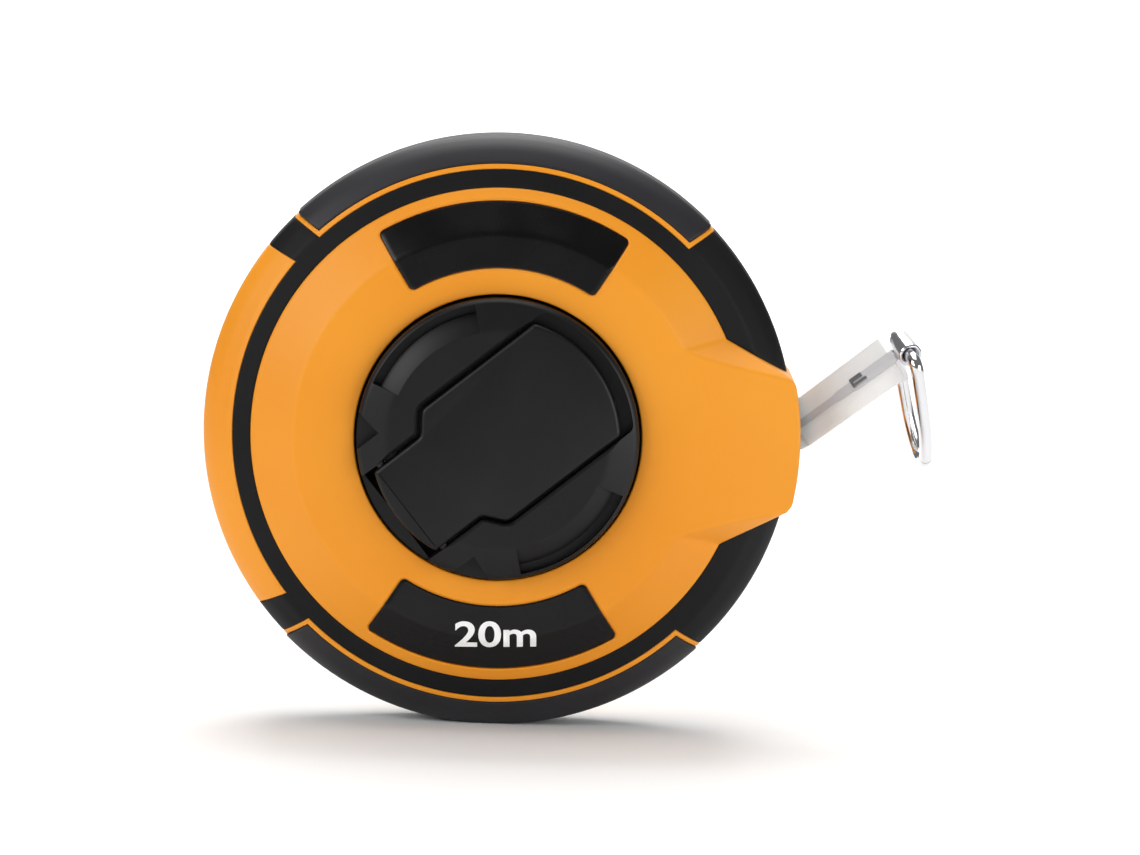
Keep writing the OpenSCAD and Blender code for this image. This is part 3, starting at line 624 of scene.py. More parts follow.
def size_marking():
    """The tape's length as raised lettering on the lower label, laid on the label's face."""
    curve = bpy.data.curves.new("size_marking", "FONT")
    curve.body = "20m"
    curve.size = 8.3
    curve.align_x = "CENTER"
    curve.align_y = "CENTER"
    curve.resolution_u = 6
    curve.offset = 0.16
    flat = bpy.data.objects.new("flat_text", curve)
    bpy.context.scene.collection.objects.link(flat)
    bpy.context.view_layer.update()
    mesh = bpy.data.meshes.new_from_object(flat.evaluated_get(bpy.context.evaluated_depsgraph_get()))
    bpy.data.objects.remove(flat)
    work = bmesh.new()
    work.from_mesh(mesh)
    bmesh.ops.remove_doubles(work, verts=work.verts, dist=1e-3)
    bmesh.ops.triangulate(work, faces=work.faces)
    for _ in range(4):
        long_edges = [e for e in work.edges if e.calc_length() > 0.6]
        bmesh.ops.subdivide_edges(work, edges=long_edges, cuts=1)
        bmesh.ops.triangulate(work, faces=work.faces)
    work.to_mesh(mesh)
    work.free()
    co = np.zeros(len(mesh.vertices) * 3)
    mesh.vertices.foreach_get("co", co)
    co = co.reshape(-1, 3)
    faces = np.zeros(len(mesh.loops), int)
    mesh.loops.foreach_get("vertex_index", faces)
    faces = faces.reshape(-1, 3)
    co[:, 0] *= 18.2 / np.ptp(co[:, 0])
    co[:, 1] *= 6.0 / np.ptp(co[:, 1])
    co[:, 0] -= (co[:, 0].max() + co[:, 0].min()) / 2
    co[:, 1] -= (co[:, 1].max() + co[:, 1].min()) / 2
    turn = rad(TEXT_TURN)
    x = co[:, 0] * np.cos(turn) - co[:, 1] * np.sin(turn)
    y = co[:, 0] * np.sin(turn) + co[:, 1] * np.cos(turn)
    centre = polar(TEXT_R, -88.9)
    x, y = x + centre[0], y + centre[1]
    z = disc_height(np.hypot(x, y)) - LABEL_SUNK
    n = len(x)
    edges = np.sort(np.concatenate([faces[:, [0, 1]], faces[:, [1, 2]], faces[:, [2, 0]]]), 1)
    ordered = np.concatenate([faces[:, [0, 1]], faces[:, [1, 2]], faces[:, [2, 0]]])
    _, first, count = np.unique(edges, axis=0, return_index=True, return_counts=True)
    rim = ordered[first[count == 1]]
    walls = np.stack([rim[:, 1], rim[:, 0], rim[:, 0] + n, rim[:, 1] + n], -1).tolist()
    points = np.concatenate([np.stack([x, y, z + 0.06], -1), np.stack([x, y, z - 0.1], -1)])
    return mesh_object("size_marking", points, faces.tolist() + (faces[:, ::-1] + n).tolist() + walls)


# ---------- hub and crank ----------
HUB_TURN = 39.4
HUB_FLOOR = MID + 8.3
HUB_FLAT_R = 24.7
SLOPE_R = HUB_R - 0.9
SLOPE_Z = HUB_TOP - 1.6
ARM_T = 4.0
ARM_BOTTOM = HUB_TOP - ARM_T
ARM_GAP = 0.8
ARM_R = 27.2
TAIL_R = 28.3
ARM_WIDE = 15.7
ARM_SLIM = 11.1
JOG_WIDE_U = -9.35
JOG_SLIM_U = -13.1
CHANNEL_END_R = HUB_R - 1.2
HINGE_U = 24.0
HINGE_Z = HUB_TOP - 2.3
KNOB_U = 13.0
POCKET_HALF = 28.0
CHAMFER = 0.7


def on_hub(shape):
    """A shape drawn with the arm along x, turned to the arm's real direction."""
    points, faces = shape
    c, s = np.cos(rad(HUB_TURN)), np.sin(rad(HUB_TURN))
    return points @ np.array([[c, s, 0], [-s, c, 0], [0, 0, 1]]), faces


def rounded_outline(corners):
    """Closed outline, counter-clockwise: each corner is (x, y, cut), rounded by a quadratic curve
    that starts and ends `cut` from it."""
    corners = np.array(corners, float)
    t = np.linspace(0, 1, 7)[:, None]
    line = []
    for before, (x, y, c), after in zip(np.roll(corners, 1, 0), corners, np.roll(corners, -1, 0)):
        at = np.array([x, y])
        if c == 0:
            line.append(at[None, :])
            continue
        a = at + (before[:2] - at) * c / np.linalg.norm(before[:2] - at)
        b = at + (after[:2] - at) * c / np.linalg.norm(after[:2] - at)
        line.append((1 - t) ** 2 * a + 2 * t * (1 - t) * at + t**2 * b)
    return np.concatenate(line)


def arc(r, a0, a1, steps, cut_at_ends=0.0):
    """Corners along an arc, the first and last with a rounding cut."""
    x, y = turned_point(r, np.linspace(a0, a1, steps))
    cuts = np.zeros(steps)
    cuts[[0, -1]] = cut_at_ends
    return list(zip(x, y, cuts))


def arm_outline(end_r, tail_r):
    """Plan of the arm: a wide round free end, a jog on each side, and a narrower hinge end."""
    wide, slim = np.degrees(np.arcsin(ARM_WIDE / end_r)), np.degrees(np.arcsin(ARM_SLIM / tail_r))
    return rounded_outline([
        *arc(end_r, -wide, wide, 32, 0.8),
        (JOG_WIDE_U, ARM_WIDE, 1.2), (JOG_SLIM_U, ARM_SLIM, 1.0),
        *arc(tail_r, 180 - slim, 180 + slim, 24, 0.5),
        (JOG_SLIM_U, -ARM_SLIM, 1.0), (JOG_WIDE_U, -ARM_WIDE, 1.2),
    ])


def cross_rod(r, half, u, z, sides=48):
    """Closed rod across the arm, along y, through (u, z)."""
    points, faces = revolved([(0, -half), (r, -half), (r, half), (0, half)], sides)
    return np.stack([points[:, 0] + u, points[:, 2], points[:, 1] + z], -1), faces


def swept_sector(profile, a0, a1, steps=40):
    """Closed solid: a loop of (radius, height) points carried from angle a0 to a1, with flat ends."""
    profile = np.asarray(profile, float)
    x, y = turned_point(profile[None, :, 0], np.linspace(a0, a1, steps)[:, None])
    points = np.stack([x, y, np.broadcast_to(profile[:, 1], x.shape)], -1).reshape(-1, 3)
    n = len(profile)
    faces = grid_quads(steps, n, wrap_cols=True).tolist()
    return points, faces + [list(range(n))[::-1], [(steps - 1) * n + k for k in range(n)]]


def hub():
    """Round body with a flat top and a sloping shoulder, less the arm's channel with chamfered
    edges, the knob's pocket and screw wells, the hinge trough, two finger pockets and four facets."""
    profile = fillet(
        [(0, HUB_FLOOR), (HUB_R, HUB_FLOOR), (HUB_R, SLOPE_Z - 0.9), (SLOPE_R, SLOPE_Z), (HUB_FLAT_R, HUB_TOP),
         (0, HUB_TOP)],
        (0.3, 0.4, 0.5, 0.9),
    )
    piece = mesh_object("dial", *revolved(profile, 240))
    wide = np.degrees(np.arcsin(ARM_WIDE / (CHANNEL_END_R - ARM_GAP)))
    channel = rounded_outline([
        *arc(CHANNEL_END_R - ARM_GAP, -wide, wide, 32, 0.8),
        (JOG_WIDE_U, ARM_WIDE, 1.2), (JOG_SLIM_U, ARM_SLIM, 1.0), (-40, ARM_SLIM, 0),
        (-40, -ARM_SLIM, 0), (JOG_SLIM_U, -ARM_SLIM, 1.0), (JOG_WIDE_U, -ARM_WIDE, 1.2),
    ])
    levels = [(ARM_BOTTOM - 1.1, ARM_GAP), (HUB_TOP - CHAMFER - 0.05, ARM_GAP), (HUB_TOP, ARM_GAP + CHAMFER),
              (HUB_TOP + 1.5, ARM_GAP + CHAMFER + 1.5)]
    slot = mesh_object("slot", *prism(channel, levels))
    wells = [revolved([(0, 28.8), (9.2, 28.8), (9.2, 50), (0, 50)], 90, (KNOB_U, 0))]
    wells += [revolved([(0, 29.5), (3.0, 29.5), (3.0, 50), (0, 50)], 32, polar(13.1, a)) for a in (180, 75, -75)]
    wells += [cross_rod(5.3, ARM_SLIM + ARM_GAP - 0.01, -HINGE_U, HINGE_Z, 61)]
    pocket = [(24.2, HUB_TOP + 0.02), (28.4, 40.5), (28.4, 38.8), (SLOPE_R, 38.8), (SLOPE_R, 50), (24.2, 50)]
    facets = [swept_sector(pocket, m - POCKET_HALF, m + POCKET_HALF) for m in (90, -90)]
    for a in (180 - 41, 180 + 41):
        base = np.array([polar(26.5, a), polar(33, a - 9.5), polar(33, a + 9.5)])
        facets.append(prism(base, [(39.9, 0), (50, 0)]))
    cut(piece, [slot, mesh_object("wells", *merged(wells)), mesh_object("facets", *merged(facets))])
    return turned_to_hub(piece)


def turned_to_hub(piece):
    """A piece drawn with the arm along x, turned to the arm's real direction."""
    piece.data.transform(Matrix.Rotation(-rad(HUB_TURN), 4, "Y"))
    return piece


def crank():
    """Flat arm with a rounded top edge, the knob's stub under it and the hinge's hole."""
    piece = mesh_object("handle_arm", *prism(arm_outline(ARM_R, TAIL_R), [
        (ARM_BOTTOM, -0.3), (ARM_BOTTOM + 0.3, 0), (HUB_TOP - CHAMFER, 0), (HUB_TOP - CHAMFER * 0.45, -CHAMFER * 0.3),
        (HUB_TOP - CHAMFER * 0.12, -CHAMFER * 0.75), (HUB_TOP, -CHAMFER * 1.3),
    ]))
    low = mm_box("crank_arm")[0][2]
    stub = revolved([(0, low), (2.3, low), (2.5, low + 0.2), (2.5, ARM_BOTTOM + 1), (0, ARM_BOTTOM + 1)], 48,
                    (KNOB_U, 0))
    cut(piece, [mesh_object("stub", *stub)], operation="UNION")
    bores = merged([cross_rod(1.05, ARM_SLIM + 2, -HINGE_U, HINGE_Z, 33),
                    revolved([(0, 20), (1.1, 20), (1.1, ARM_BOTTOM - 1.5), (0, ARM_BOTTOM - 1.5)], 24, (KNOB_U, 0))])
    cut(piece, [mesh_object("bores", *bores)])
    return turned_to_hub(piece)


def knob():
    """Turned knob: rounded cap, waisted side, and a stepped bore for stub and screw."""
    low, high = mm_box("crank_knob")
    z0, z1 = low[2], high[2]
    r = (high[0] - low[0]) / 2
    profile = fillet([
        (4.1, z0), (r - 0.6, z0), (r, z0 + 1.6), (r - 1.7, z0 + 5.2), (r - 0.9, z1 - 0.2), (r - 1.4, z1), (2.56, z1),
    ], (0.9, 1.5, 2.6, 0.4, 0.2))
    profile = np.concatenate([profile, [(2.56, z0 + 2), (4.1, z0 + 2)]])
    return mesh_object("finger_knob", *on_hub(revolved(profile, 96, (KNOB_U, 0))))


# ---------- tape, sleeve, strip, barrel and ring ----------
along = in_case(joints["tape_pull"]["axis"])
TAPE_ANGLE = np.degrees(np.arctan2(along[1], along[0]))
across_face = np.array([np.sin(rad(TAPE_ANGLE)), -np.cos(rad(TAPE_ANGLE)), 0])
barrel_at = in_case(joints["ring_swing"]["pos_m"]) * 1000
barrel_axis = in_case(joints["ring_swing"]["axis"])
RUN_R = barrel_at @ across_face
BARREL_S = barrel_at @ along
FREE_LEN = 27.5
END_S = BARREL_S - 2.9
MOUTH_S = END_S - FREE_LEN
TWIST_S = MOUTH_S - 17.3
MOUTH_TWIST, END_TWIST = 43.0, 50.0
BARREL_TURN = 24.0
BARREL_LEN = 8.4
TAPE_W, TAPE_T = 13.0, 0.2
STRIP_T = 0.3
SLEEVE_W, SLEEVE_T = 13.9, 1.5
WIRE_R = 1.5
RING_HANG = 16.0


def tape_turn(s):
    """Turn of the tape's face about its run: none by the coil, then a smooth twist to the mouth, a
    slight one to the tape's end, and back to the barrel's direction."""
    return np.interp(s, [TWIST_S, MOUTH_S, END_S, BARREL_S - 2.7], [0, MOUTH_TWIST, END_TWIST, BARREL_TURN])


def on_tape(s, w, lift):
    """Point at s along the run, w across the tape and lift off its middle plane."""
    turn = rad(tape_turn(s))
    up = w * np.cos(turn) - lift * np.sin(turn)
    out = w * np.sin(turn) + lift * np.cos(turn)
    return (RUN_R + out)[..., None] * across_face + s[..., None] * along + (MID + up)[..., None] * np.array([0, 0, 1.0])


def ribbon(s, width, thickness, lift, columns=9):
    """Closed strip along the tape: width is one number or one for each s."""
    s = np.asarray(s, float)[:, None]
    w = np.linspace(-0.5, 0.5, columns) * (np.asarray(width, float).reshape(-1, 1) + 0 * s)
    s = s + 0 * w
    return slab(on_tape(s, w, lift + thickness / 2 + 0 * w), on_tape(s, w, lift - thickness / 2 + 0 * w))


def tape_end():
    """The measuring tape from the coil to its end in the sleeve."""
    s = np.concatenate([np.linspace(1, TWIST_S, 8), np.linspace(TWIST_S, MOUTH_S, 26)[1:],
                        np.linspace(MOUTH_S, END_S - 1, 20)[1:]])
    return mesh_object("tape_end", *ribbon(s, TAPE_W, TAPE_T, 0))


def clear_sleeve():
    """Flat tube round the tape: one loop of points outside and one inside, joined at both ends."""
    a = np.linspace(0, 2 * pi, 64, endpoint=False)[:, None]
    flat = np.sign(np.cos(a)) * np.abs(np.cos(a)) ** 0.3, np.sign(np.sin(a)) * np.abs(np.sin(a)) ** 0.5
    s = np.linspace(MOUTH_S + 0.2, END_S, 30)
    s = np.concatenate([s, s[::-1]])[None, :]
    inside = (np.arange(s.size) >= s.size // 2)[None, :]
    half_w = SLEEVE_W / 2 - 0.35 * inside
    half_t = SLEEVE_T / 2 - 0.3 * inside
    points = on_tape(s + 0 * a, half_w * flat[0], half_t * flat[1])
    rows, cols = points.shape[:2]
    return mesh_object("clear_sleeve", points.reshape(-1, 3), grid_quads(rows, cols, True, True), 40)


def steel_strip():
    """Strip on the tape's face: slim from the mouth, a step wider over its middle, and wider again into
    the barrel. The claw with its two prongs over the middle is made apart, by strip_claw."""
    face = -(TAPE_T + STRIP_T) / 2
    s1, s2 = MOUTH_S + 0.4 * FREE_LEN, MOUTH_S + 0.56 * FREE_LEN
    s = [MOUTH_S - 6, s1, s1 + 0.8, s2, s2 + 0.8, END_S, END_S + 1.2, BARREL_S - 2.5]
    w = [1.9, 1.9, 2.6, 2.6, 3.4, 3.4, 3.4, 3.4]
    fine = np.linspace(s[0], s[-1], 90)
    plain = ribbon(fine, np.interp(fine, s, w), STRIP_T, face, 7)
    return mesh_object("steel_strip", *plain)


def strip_claw():
    """Dark clip over the strip: a plate with two prongs that run along the strip."""
    lift = -(TAPE_T / 2 + STRIP_T + 0.2)
    spots = ((0.575, 0.595, -0.35, 2.5), (0.595, 0.69, -1.05, 1.1), (0.595, 0.71, 0.4, 0.65))
    bars = []
    for s1, s2, middle, width in spots:
        s = np.linspace(MOUTH_S + s1 * FREE_LEN, MOUTH_S + s2 * FREE_LEN, 8)
        w = middle + width / 2 * np.array([-1.0, 1.0])
        grid_s, wide = np.broadcast_arrays(s[:, None], w[None, :])
        bars.append(slab(on_tape(grid_s, wide, lift - 0.18 + 0 * wide), on_tape(grid_s, wide, lift + 0.18 + 0 * wide)))
    return mesh_object("strip_claw", *merged(bars))


def barrel():
    """Short chromed tube with dished, chamfered ends, on the ring's bar."""
    half = BARREL_LEN / 2
    profile = fillet([(1.56, -half + 0.9), (2.0, -half + 0.25), (2.35, -half), (2.7, -half + 0.35), (2.7, half - 0.35),
                      (2.35, half), (2.0, half - 0.25), (1.56, half - 0.9)], (0.1, 0.15, 0.15, 0.15, 0.15, 0.1))
    points, faces = revolved(profile, 72)
    side = np.cross(barrel_axis, along)
    side /= np.linalg.norm(side)
    points = barrel_at + points @ np.array([side, np.cross(barrel_axis, side), barrel_axis])
    return mesh_object("cross_barrel", points, faces)


def ring_directions():
    """Direction in which the ring hangs from the barrel, and the normal of its plane."""
    turn = rad(BARREL_TURN)
    face = np.cos(turn) * across_face - np.sin(turn) * np.array([0, 0, 1.0])
    fall = np.arctan2(-along[1], -face[1]) + rad(RING_HANG)
    down = np.cos(fall) * face + np.sin(fall) * along
    return down, np.cross(barrel_axis, down)


def ring():
    """Wire loop: a straight bar in the barrel, bent shoulders, and legs that draw in to a narrow
    round end. The wire is a circle carried along that closed path."""
    corners = [(-6, 0, 0), (6, 0, 0), (8.2, 0.2, 2.1), (8.2, 12, 6), (6.6, 23.5, 5.5), (0, 31.2, 6.6), (-6.6, 23.5, 5.5),
               (-8.2, 12, 6), (-8.2, 0.2, 2.1)]
    path = rounded_outline(corners)
    reach = np.concatenate([[0], np.cumsum(np.linalg.norm(np.diff(np.vstack([path, path[:1]]), axis=0), axis=1))])
    even = np.linspace(0, reach[-1], 220, endpoint=False)
    path = np.stack([np.interp(even, reach, np.append(path[:, k], path[0, k])) for k in (0, 1)], -1)
    for _ in range(2):
        path = (np.roll(path, 1, 0) + 2 * path + np.roll(path, -1, 0)) / 4
    down, normal = ring_directions()
    centre = barrel_at + path[:, :1] * barrel_axis + path[:, 1:] * down
    forward = np.roll(centre, -1, 0) - np.roll(centre, 1, 0)
    forward /= np.linalg.norm(forward, axis=1)[:, None]
    outward = np.cross(forward, normal)
    a = np.linspace(0, 2 * pi, 28, endpoint=False)
    points = centre[:, None] + WIRE_R * (np.cos(a)[None, :, None] * outward[:, None] + np.sin(a)[None, :, None] * normal)
    return mesh_object("wire_ring", points.reshape(-1, 3), grid_quads(len(path), len(a), True, True), 60)


# ---------- materials ----------
def linear(hex_colour):
    """sRGB hex value as the linear RGBA that shaders take."""
    c = np.array([int(hex_colour[k:k + 2], 16) for k in (1, 3, 5)]) / 255
    c = np.where(c <= 0.04045, c / 12.92, ((c + 0.055) / 1.055) ** 2.4)
    return (*c, 1.0)


def add(tree, kind, settings=(), **links):
    """Adds a node: settings go to sockets of that name or number, or else to the node itself, and
    each link is socket_name=output, or n0=output for socket number 0."""
    made = tree.nodes.new(kind)
    for key, value in dict(settings).items():
        if isinstance(key, int) or key in made.inputs:
            made.inputs[key].default_value = value
        else:
            setattr(made, key, value)
    for key, output in links.items():
        numbered = key[0] == "n" and key[1:].isdigit()
        tree.links.new(output, made.inputs[int(key[1:]) if numbered else key.replace("_", " ")])
    return made


def surface(name, hex_colour, roughness, **more):
    """New material with a Principled shader; more gives its other sockets. Returns both and the
    Object coordinates in metres."""
    made = bpy.data.materials.new(name)
    made.use_nodes = True
    tree = made.node_tree
    shader = tree.nodes["Principled BSDF"]
    shader.inputs["Base Color"].default_value = linear(hex_colour)
    shader.inputs["Roughness"].default_value = roughness
    for key, value in more.items():
        shader.inputs[key.replace("_", " ")].default_value = value
    made.diffuse_color = linear(hex_colour)
    place = add(tree, "ShaderNodeTexCoord").outputs["Object"]
    return made, tree, shader, place


def grain(tree, shader, place, size_mm, depth_mm, strength, detail=3.0):
    """Fine relief: noise of that grain size as bump."""
    noise = add(tree, "ShaderNodeTexNoise", {"Scale": 1000 / size_mm / 2, "Detail": detail}, Vector=place)
    relief = {"Strength": strength, "Distance": depth_mm / 1000}
    bump = add(tree, "ShaderNodeBump", relief, Height=noise.outputs["Fac"])
    tree.links.new(bump.outputs["Normal"], shader.inputs["Normal"])
    return noise


def mottled(tree, shader, place, dark, light, size_mm, socket="Base Color", low=0.35, high=0.65):
    """Slow change between two colours or values over patches of that size."""
    noise = add(tree, "ShaderNodeTexNoise", {"Scale": 1000 / size_mm / 2, "Detail": 2.0}, Vector=place)
    ramp = add(tree, "ShaderNodeValToRGB", {}, Fac=noise.outputs["Fac"])
    for stop, at, value in zip(ramp.color_ramp.elements, (low, high), (dark, light)):
        stop.position = at
        stop.color = linear(value) if isinstance(value, str) else (value, value, value, 1)
    tree.links.new(ramp.outputs["Color"], shader.inputs[socket])
    return ramp


def orange_abs():
    """Injection-moulded ABS, spark-eroded satin: even colour, a soft broad sheen and fine grain."""
    made, tree, shader, place = surface("moulded_orange_abs", "#E8931F", 0.45, IOR=1.53, Specular_IOR_Level=0.3)
    mottled(tree, shader, place, "#E58F1B", "#E99724", 26)
    grain(tree, shader, place, 0.45, 0.012, 0.35)
    return made


def black_tpr():
    """Overmoulded thermoplastic rubber: matt near-black with a dusty grain."""
    made, tree, shader, place = surface("overmoulded_black_tpr", "#0E0E10", 0.55, IOR=1.5, Specular_IOR_Level=0.18)
    mottled(tree, shader, place, "#0C0C0E", "#111113", 12)
    grain(tree, shader, place, 0.35, 0.02, 0.5)
    return made


def grip_rubber():
    """Moulded rubber grip: dark grey, a little more sheen than the overmould, fine grain."""
    made, tree, shader, place = surface("moulded_grip_rubber", "#1E1D21", 0.5, IOR=1.52, Specular_IOR_Level=0.35)
    mottled(tree, shader, place, "#1C1B1F", "#212024", 10)
    grain(tree, shader, place, 0.4, 0.025, 0.55)
    return made


def label_black():
    """Gloss polystyrene plate: deep black, with faint moulding waves."""
    made, tree, shader, place = surface("gloss_black_polystyrene", "#070708", 0.26, IOR=1.59, Specular_IOR_Level=0.2)
    mottled(tree, shader, place, 0.22, 0.3, 6, "Roughness")
    grain(tree, shader, place, 3.0, 0.01, 0.2)
    return made


def white_print():
    """Pad-printed white enamel ink: flat white with a thin, slightly uneven film."""
    made, tree, shader, place = surface("pad_printed_white_ink", "#F2F2F2", 0.5)
    mottled(tree, shader, place, "#E9E9E9", "#F6F6F6", 1.5)
    return made


def hub_nylon():
    """Glass-filled nylon: black with a grey bloom, satin, with short fibres just under the skin."""
    made, tree, shader, place = surface("glass_filled_black_nylon", "#0E0E0F", 0.4, IOR=1.53, Specular_IOR_Level=0.25)
    mottled(tree, shader, place, "#0C0C0D", "#111112", 8)
    grain(tree, shader, place, 0.5, 0.012, 0.4, 5.0)
    return made


def guide_acetal():
    """Machined-smooth acetal: black, waxy and slippery."""
    made, tree, shader, place = surface("moulded_black_acetal", "#141416", 0.3, IOR=1.48)
    mottled(tree, shader, place, 0.26, 0.36, 3, "Roughness")
    grain(tree, shader, place, 1.0, 0.004, 0.2)
    return made


def reel_abs():
    """Moulded dark grey ABS of the reel, plain satin."""
    made, tree, shader, place = surface("moulded_grey_abs", "#343437", 0.5, IOR=1.53)
    mottled(tree, shader, place, "#303033", "#38383B", 15)
    grain(tree, shader, place, 0.6, 0.01, 0.3)
    return made


def metal(name, hex_colour, roughness, streak_mm, spread):
    """Bare metal with streaks: noise stretched along x moves the roughness by spread."""
    made, tree, shader, place = surface(name, hex_colour, roughness, Metallic=1.0)
    stretched = add(tree, "ShaderNodeMapping", {"Scale": (0.08, 1.0, 1.0)}, Vector=place)
    mottled(tree, shader, stretched.outputs["Vector"], roughness - spread, roughness + spread, streak_mm, "Roughness")
    grain(tree, shader, stretched.outputs["Vector"], streak_mm, 0.004, 0.25)
    return made


def zinc_steel():
    """Zinc-plated turned steel: bright grey with fine tool marks."""
    return metal("zinc_plated_steel", "#BDBDC0", 0.32, 0.2, 0.08)


def steel_oxide_and_painted_shade():
    """Blackened steel, half dull: dark oxide on the case screws. On the crank's hinge pin the dark colour is painted
    shade, standing in for the shade in the groove beside the arm.
    """
    return metal("black_oxide_and_painted_shade_steel", "#3A3A3C", 0.42, 0.3, 0.08)


def strip_steel():
    """Cold-rolled spring steel: mid grey, drawn lengthways."""
    return metal("rolled_spring_steel", "#B9B9BB", 0.4, 0.15, 0.08)


def claw_steel():
    """Pressed and phosphated steel clip: dark grey."""
    return metal("phosphated_steel", "#6C6C6E", 0.45, 0.2, 0.08)


def chrome():
    """Nickel-chrome plate on polished wire: a clear mirror, a little hazier in patches."""
    made, tree, shader, place = surface("polished_chrome_plate", "#E2E2E5", 0.12, Metallic=1.0)
    mottled(tree, shader, place, 0.1, 0.16, 4, "Roughness")
    return made


def fibre():
    """Vulcanised fibre washer: tan, matt, with short hairs."""
    made, tree, shader, place = surface("vulcanised_fibre", "#A5743C", 0.75)
    mottled(tree, shader, place, "#96672F", "#B48148", 1.2)
    grain(tree, shader, place, 0.3, 0.03, 0.6)
    return made


def tape_lacquer():
    """Lacquered white tape with its printed scale: a mark each millimetre, longer ones each five and
    ten, along the edge. The first stretch, which lies in the sleeve, is blank."""
    made, tree, shader, place = surface("lacquered_white_tape", "#F1F1EE", 0.4, IOR=1.5)
    direction = Vector((along[0], -along[2], along[1]))
    run = add(tree, "ShaderNodeVectorMath", {"operation": "DOT_PRODUCT", 1: direction}, n0=place).outputs["Value"]
    across = add(tree, "ShaderNodeAttribute", {"attribute_name": "across"}).outputs["Fac"]
    marks = None
    for pitch, reach in ((1, 2.2), (5, 3.6), (10, 5.2)):
        phase = add(tree, "ShaderNodeMath", {"operation": "MULTIPLY", 1: 1000 / pitch}, n0=run)
        part = add(tree, "ShaderNodeMath", {"operation": "FRACT"}, n0=phase.outputs[0])
        line = add(tree, "ShaderNodeMath", {"operation": "LESS_THAN", 1: 0.24 / pitch}, n0=part.outputs[0])
        near = add(tree, "ShaderNodeMath", {"operation": "GREATER_THAN", 1: TAPE_W / 2 - reach}, n0=across)
        both = add(tree, "ShaderNodeMath", {"operation": "MULTIPLY"}, n0=line.outputs[0], n1=near.outputs[0])
        marks = both if marks is None else add(
            tree, "ShaderNodeMath", {"operation": "MAXIMUM"}, n0=marks.outputs[0], n1=both.outputs[0])
    printed = add(tree, "ShaderNodeMath", {"operation": "LESS_THAN", 1: (MOUTH_S - 3) / 1000}, n0=run)
    ink = add(tree, "ShaderNodeMath", {"operation": "MULTIPLY"}, n0=marks.outputs[0], n1=printed.outputs[0])
    colours = {"data_type": "RGBA", 6: linear("#F1F1EE"), 7: linear("#151515")}
    mix = add(tree, "ShaderNodeMix", colours, n0=ink.outputs[0])
    tree.links.new(mix.outputs[2], shader.inputs["Base Color"])
    grain(tree, shader, place, 0.8, 0.004, 0.2)
    return made


def coil_layers():
    """The same lacquer seen edge on: fine rings, one for each few turns of the wound tape."""
    made, tree, shader, place = surface("wound_tape_edges", "#D8D5CA", 0.5)
    flat = add(tree, "ShaderNodeMapping", {"Scale": (1, 0, 1)}, Vector=place)
    settings = {"wave_type": "RINGS", "rings_direction": "SPHERICAL", "Scale": 1000 / 0.6 / 6.28, "Distortion": 0.6}
    rings = add(tree, "ShaderNodeTexWave", settings, Vector=flat.outputs["Vector"])
    ramp = add(tree, "ShaderNodeValToRGB", {}, Fac=rings.outputs["Fac"])
    ramp.color_ramp.elements[0].color = linear("#A9A699")
    ramp.color_ramp.elements[1].color = linear("#E4E1D6")
    tree.links.new(ramp.outputs["Color"], shader.inputs["Base Color"])
    return made


def clear_pvc():
    """Heat-sealed clear vinyl: milky and slightly rippled over the tape."""
    made, tree, shader, place = surface(
        "clear_vinyl_sleeve", "#FAFAFC", 0.25, IOR=1.53, Alpha=0.26
    )
    mottled(tree, shader, place, "#F2F2F5", "#FFFFFF", 5)
    grain(tree, shader, place, 4.0, 0.05, 0.35)
    return made


# ---------- assembly ----------
orange, tpr, rubber = orange_abs(), black_tpr(), grip_rubber()
gloss, ink, nylon = label_black(), white_print(), hub_nylon()
zinc, bright = zinc_steel(), chrome()

front = cut(case_shell("front_case", rear=False), [label_window(90), label_window(-90), mouth_cutter()])
fitted(front, "case", "orange_abs", orange, "front_shell")
fitted(rear_case(), "case", "orange_abs", orange, "rear_shell")
fitted(rim_skin("front_skin", rear=False), "case", "black_tpr", tpr, "front_bumper")
fitted(rim_skin("rear_skin", rear=True), "case", "black_tpr", tpr, "rear_bumper")
fitted(rim_grip("upper_grip", 1), "case", "grip_rubber", rubber, "top_grip")
fitted(rim_grip("lower_grip", -1), "case", "grip_rubber", rubber, "bottom_grip")
fitted(label_plate("upper_plate", 90), "case", "label_black", gloss, "label_top")
fitted(label_plate("lower_plate", -90), "case", "label_black", gloss, "label_bottom")
fitted(size_marking(), "case", "label_black", ink)
fitted(rear_plate(), "case", "label_black", gloss, "rear_label")
fitted(hub(), "reel", "hub_nylon", nylon, "winding_hub")
fitted(crank(), "crank", "hub_nylon", nylon, "crank_arm")
fitted(knob(), "knob", "hub_nylon", nylon, "crank_knob")
free_tape = tape_end()
points = np.zeros(len(free_tape.data.vertices) * 3)
free_tape.data.vertices.foreach_get("co", points)
fitted(free_tape, "tape_end", "tape_lacquer", tape_lacquer(), "tape_lead")
x, z, y = (points.reshape(-1, 3) * 1000 * [1, -1, 1]).T
place = np.stack([x, y, z], -1)
turn = rad(tape_turn(place @ along))
width = (z - MID) * np.cos(turn) + (place @ across_face - RUN_R) * np.sin(turn)
free_tape.data.attributes.new("across", "FLOAT", "POINT").data.foreach_set("value", width.astype(np.float32))
fitted(clear_sleeve(), "tape_end", "clear_pvc", clear_pvc(), "end_sleeve")
fitted(steel_strip(), "tape_end", "strip_steel", strip_steel(), "end_strip")
fitted(strip_claw(), "tape_end", "strip_steel", claw_steel())
fitted(barrel(), "tape_end", "chrome", bright, "ring_barrel")
fitted(ring(), "ring", "chrome", bright, "pull_ring")

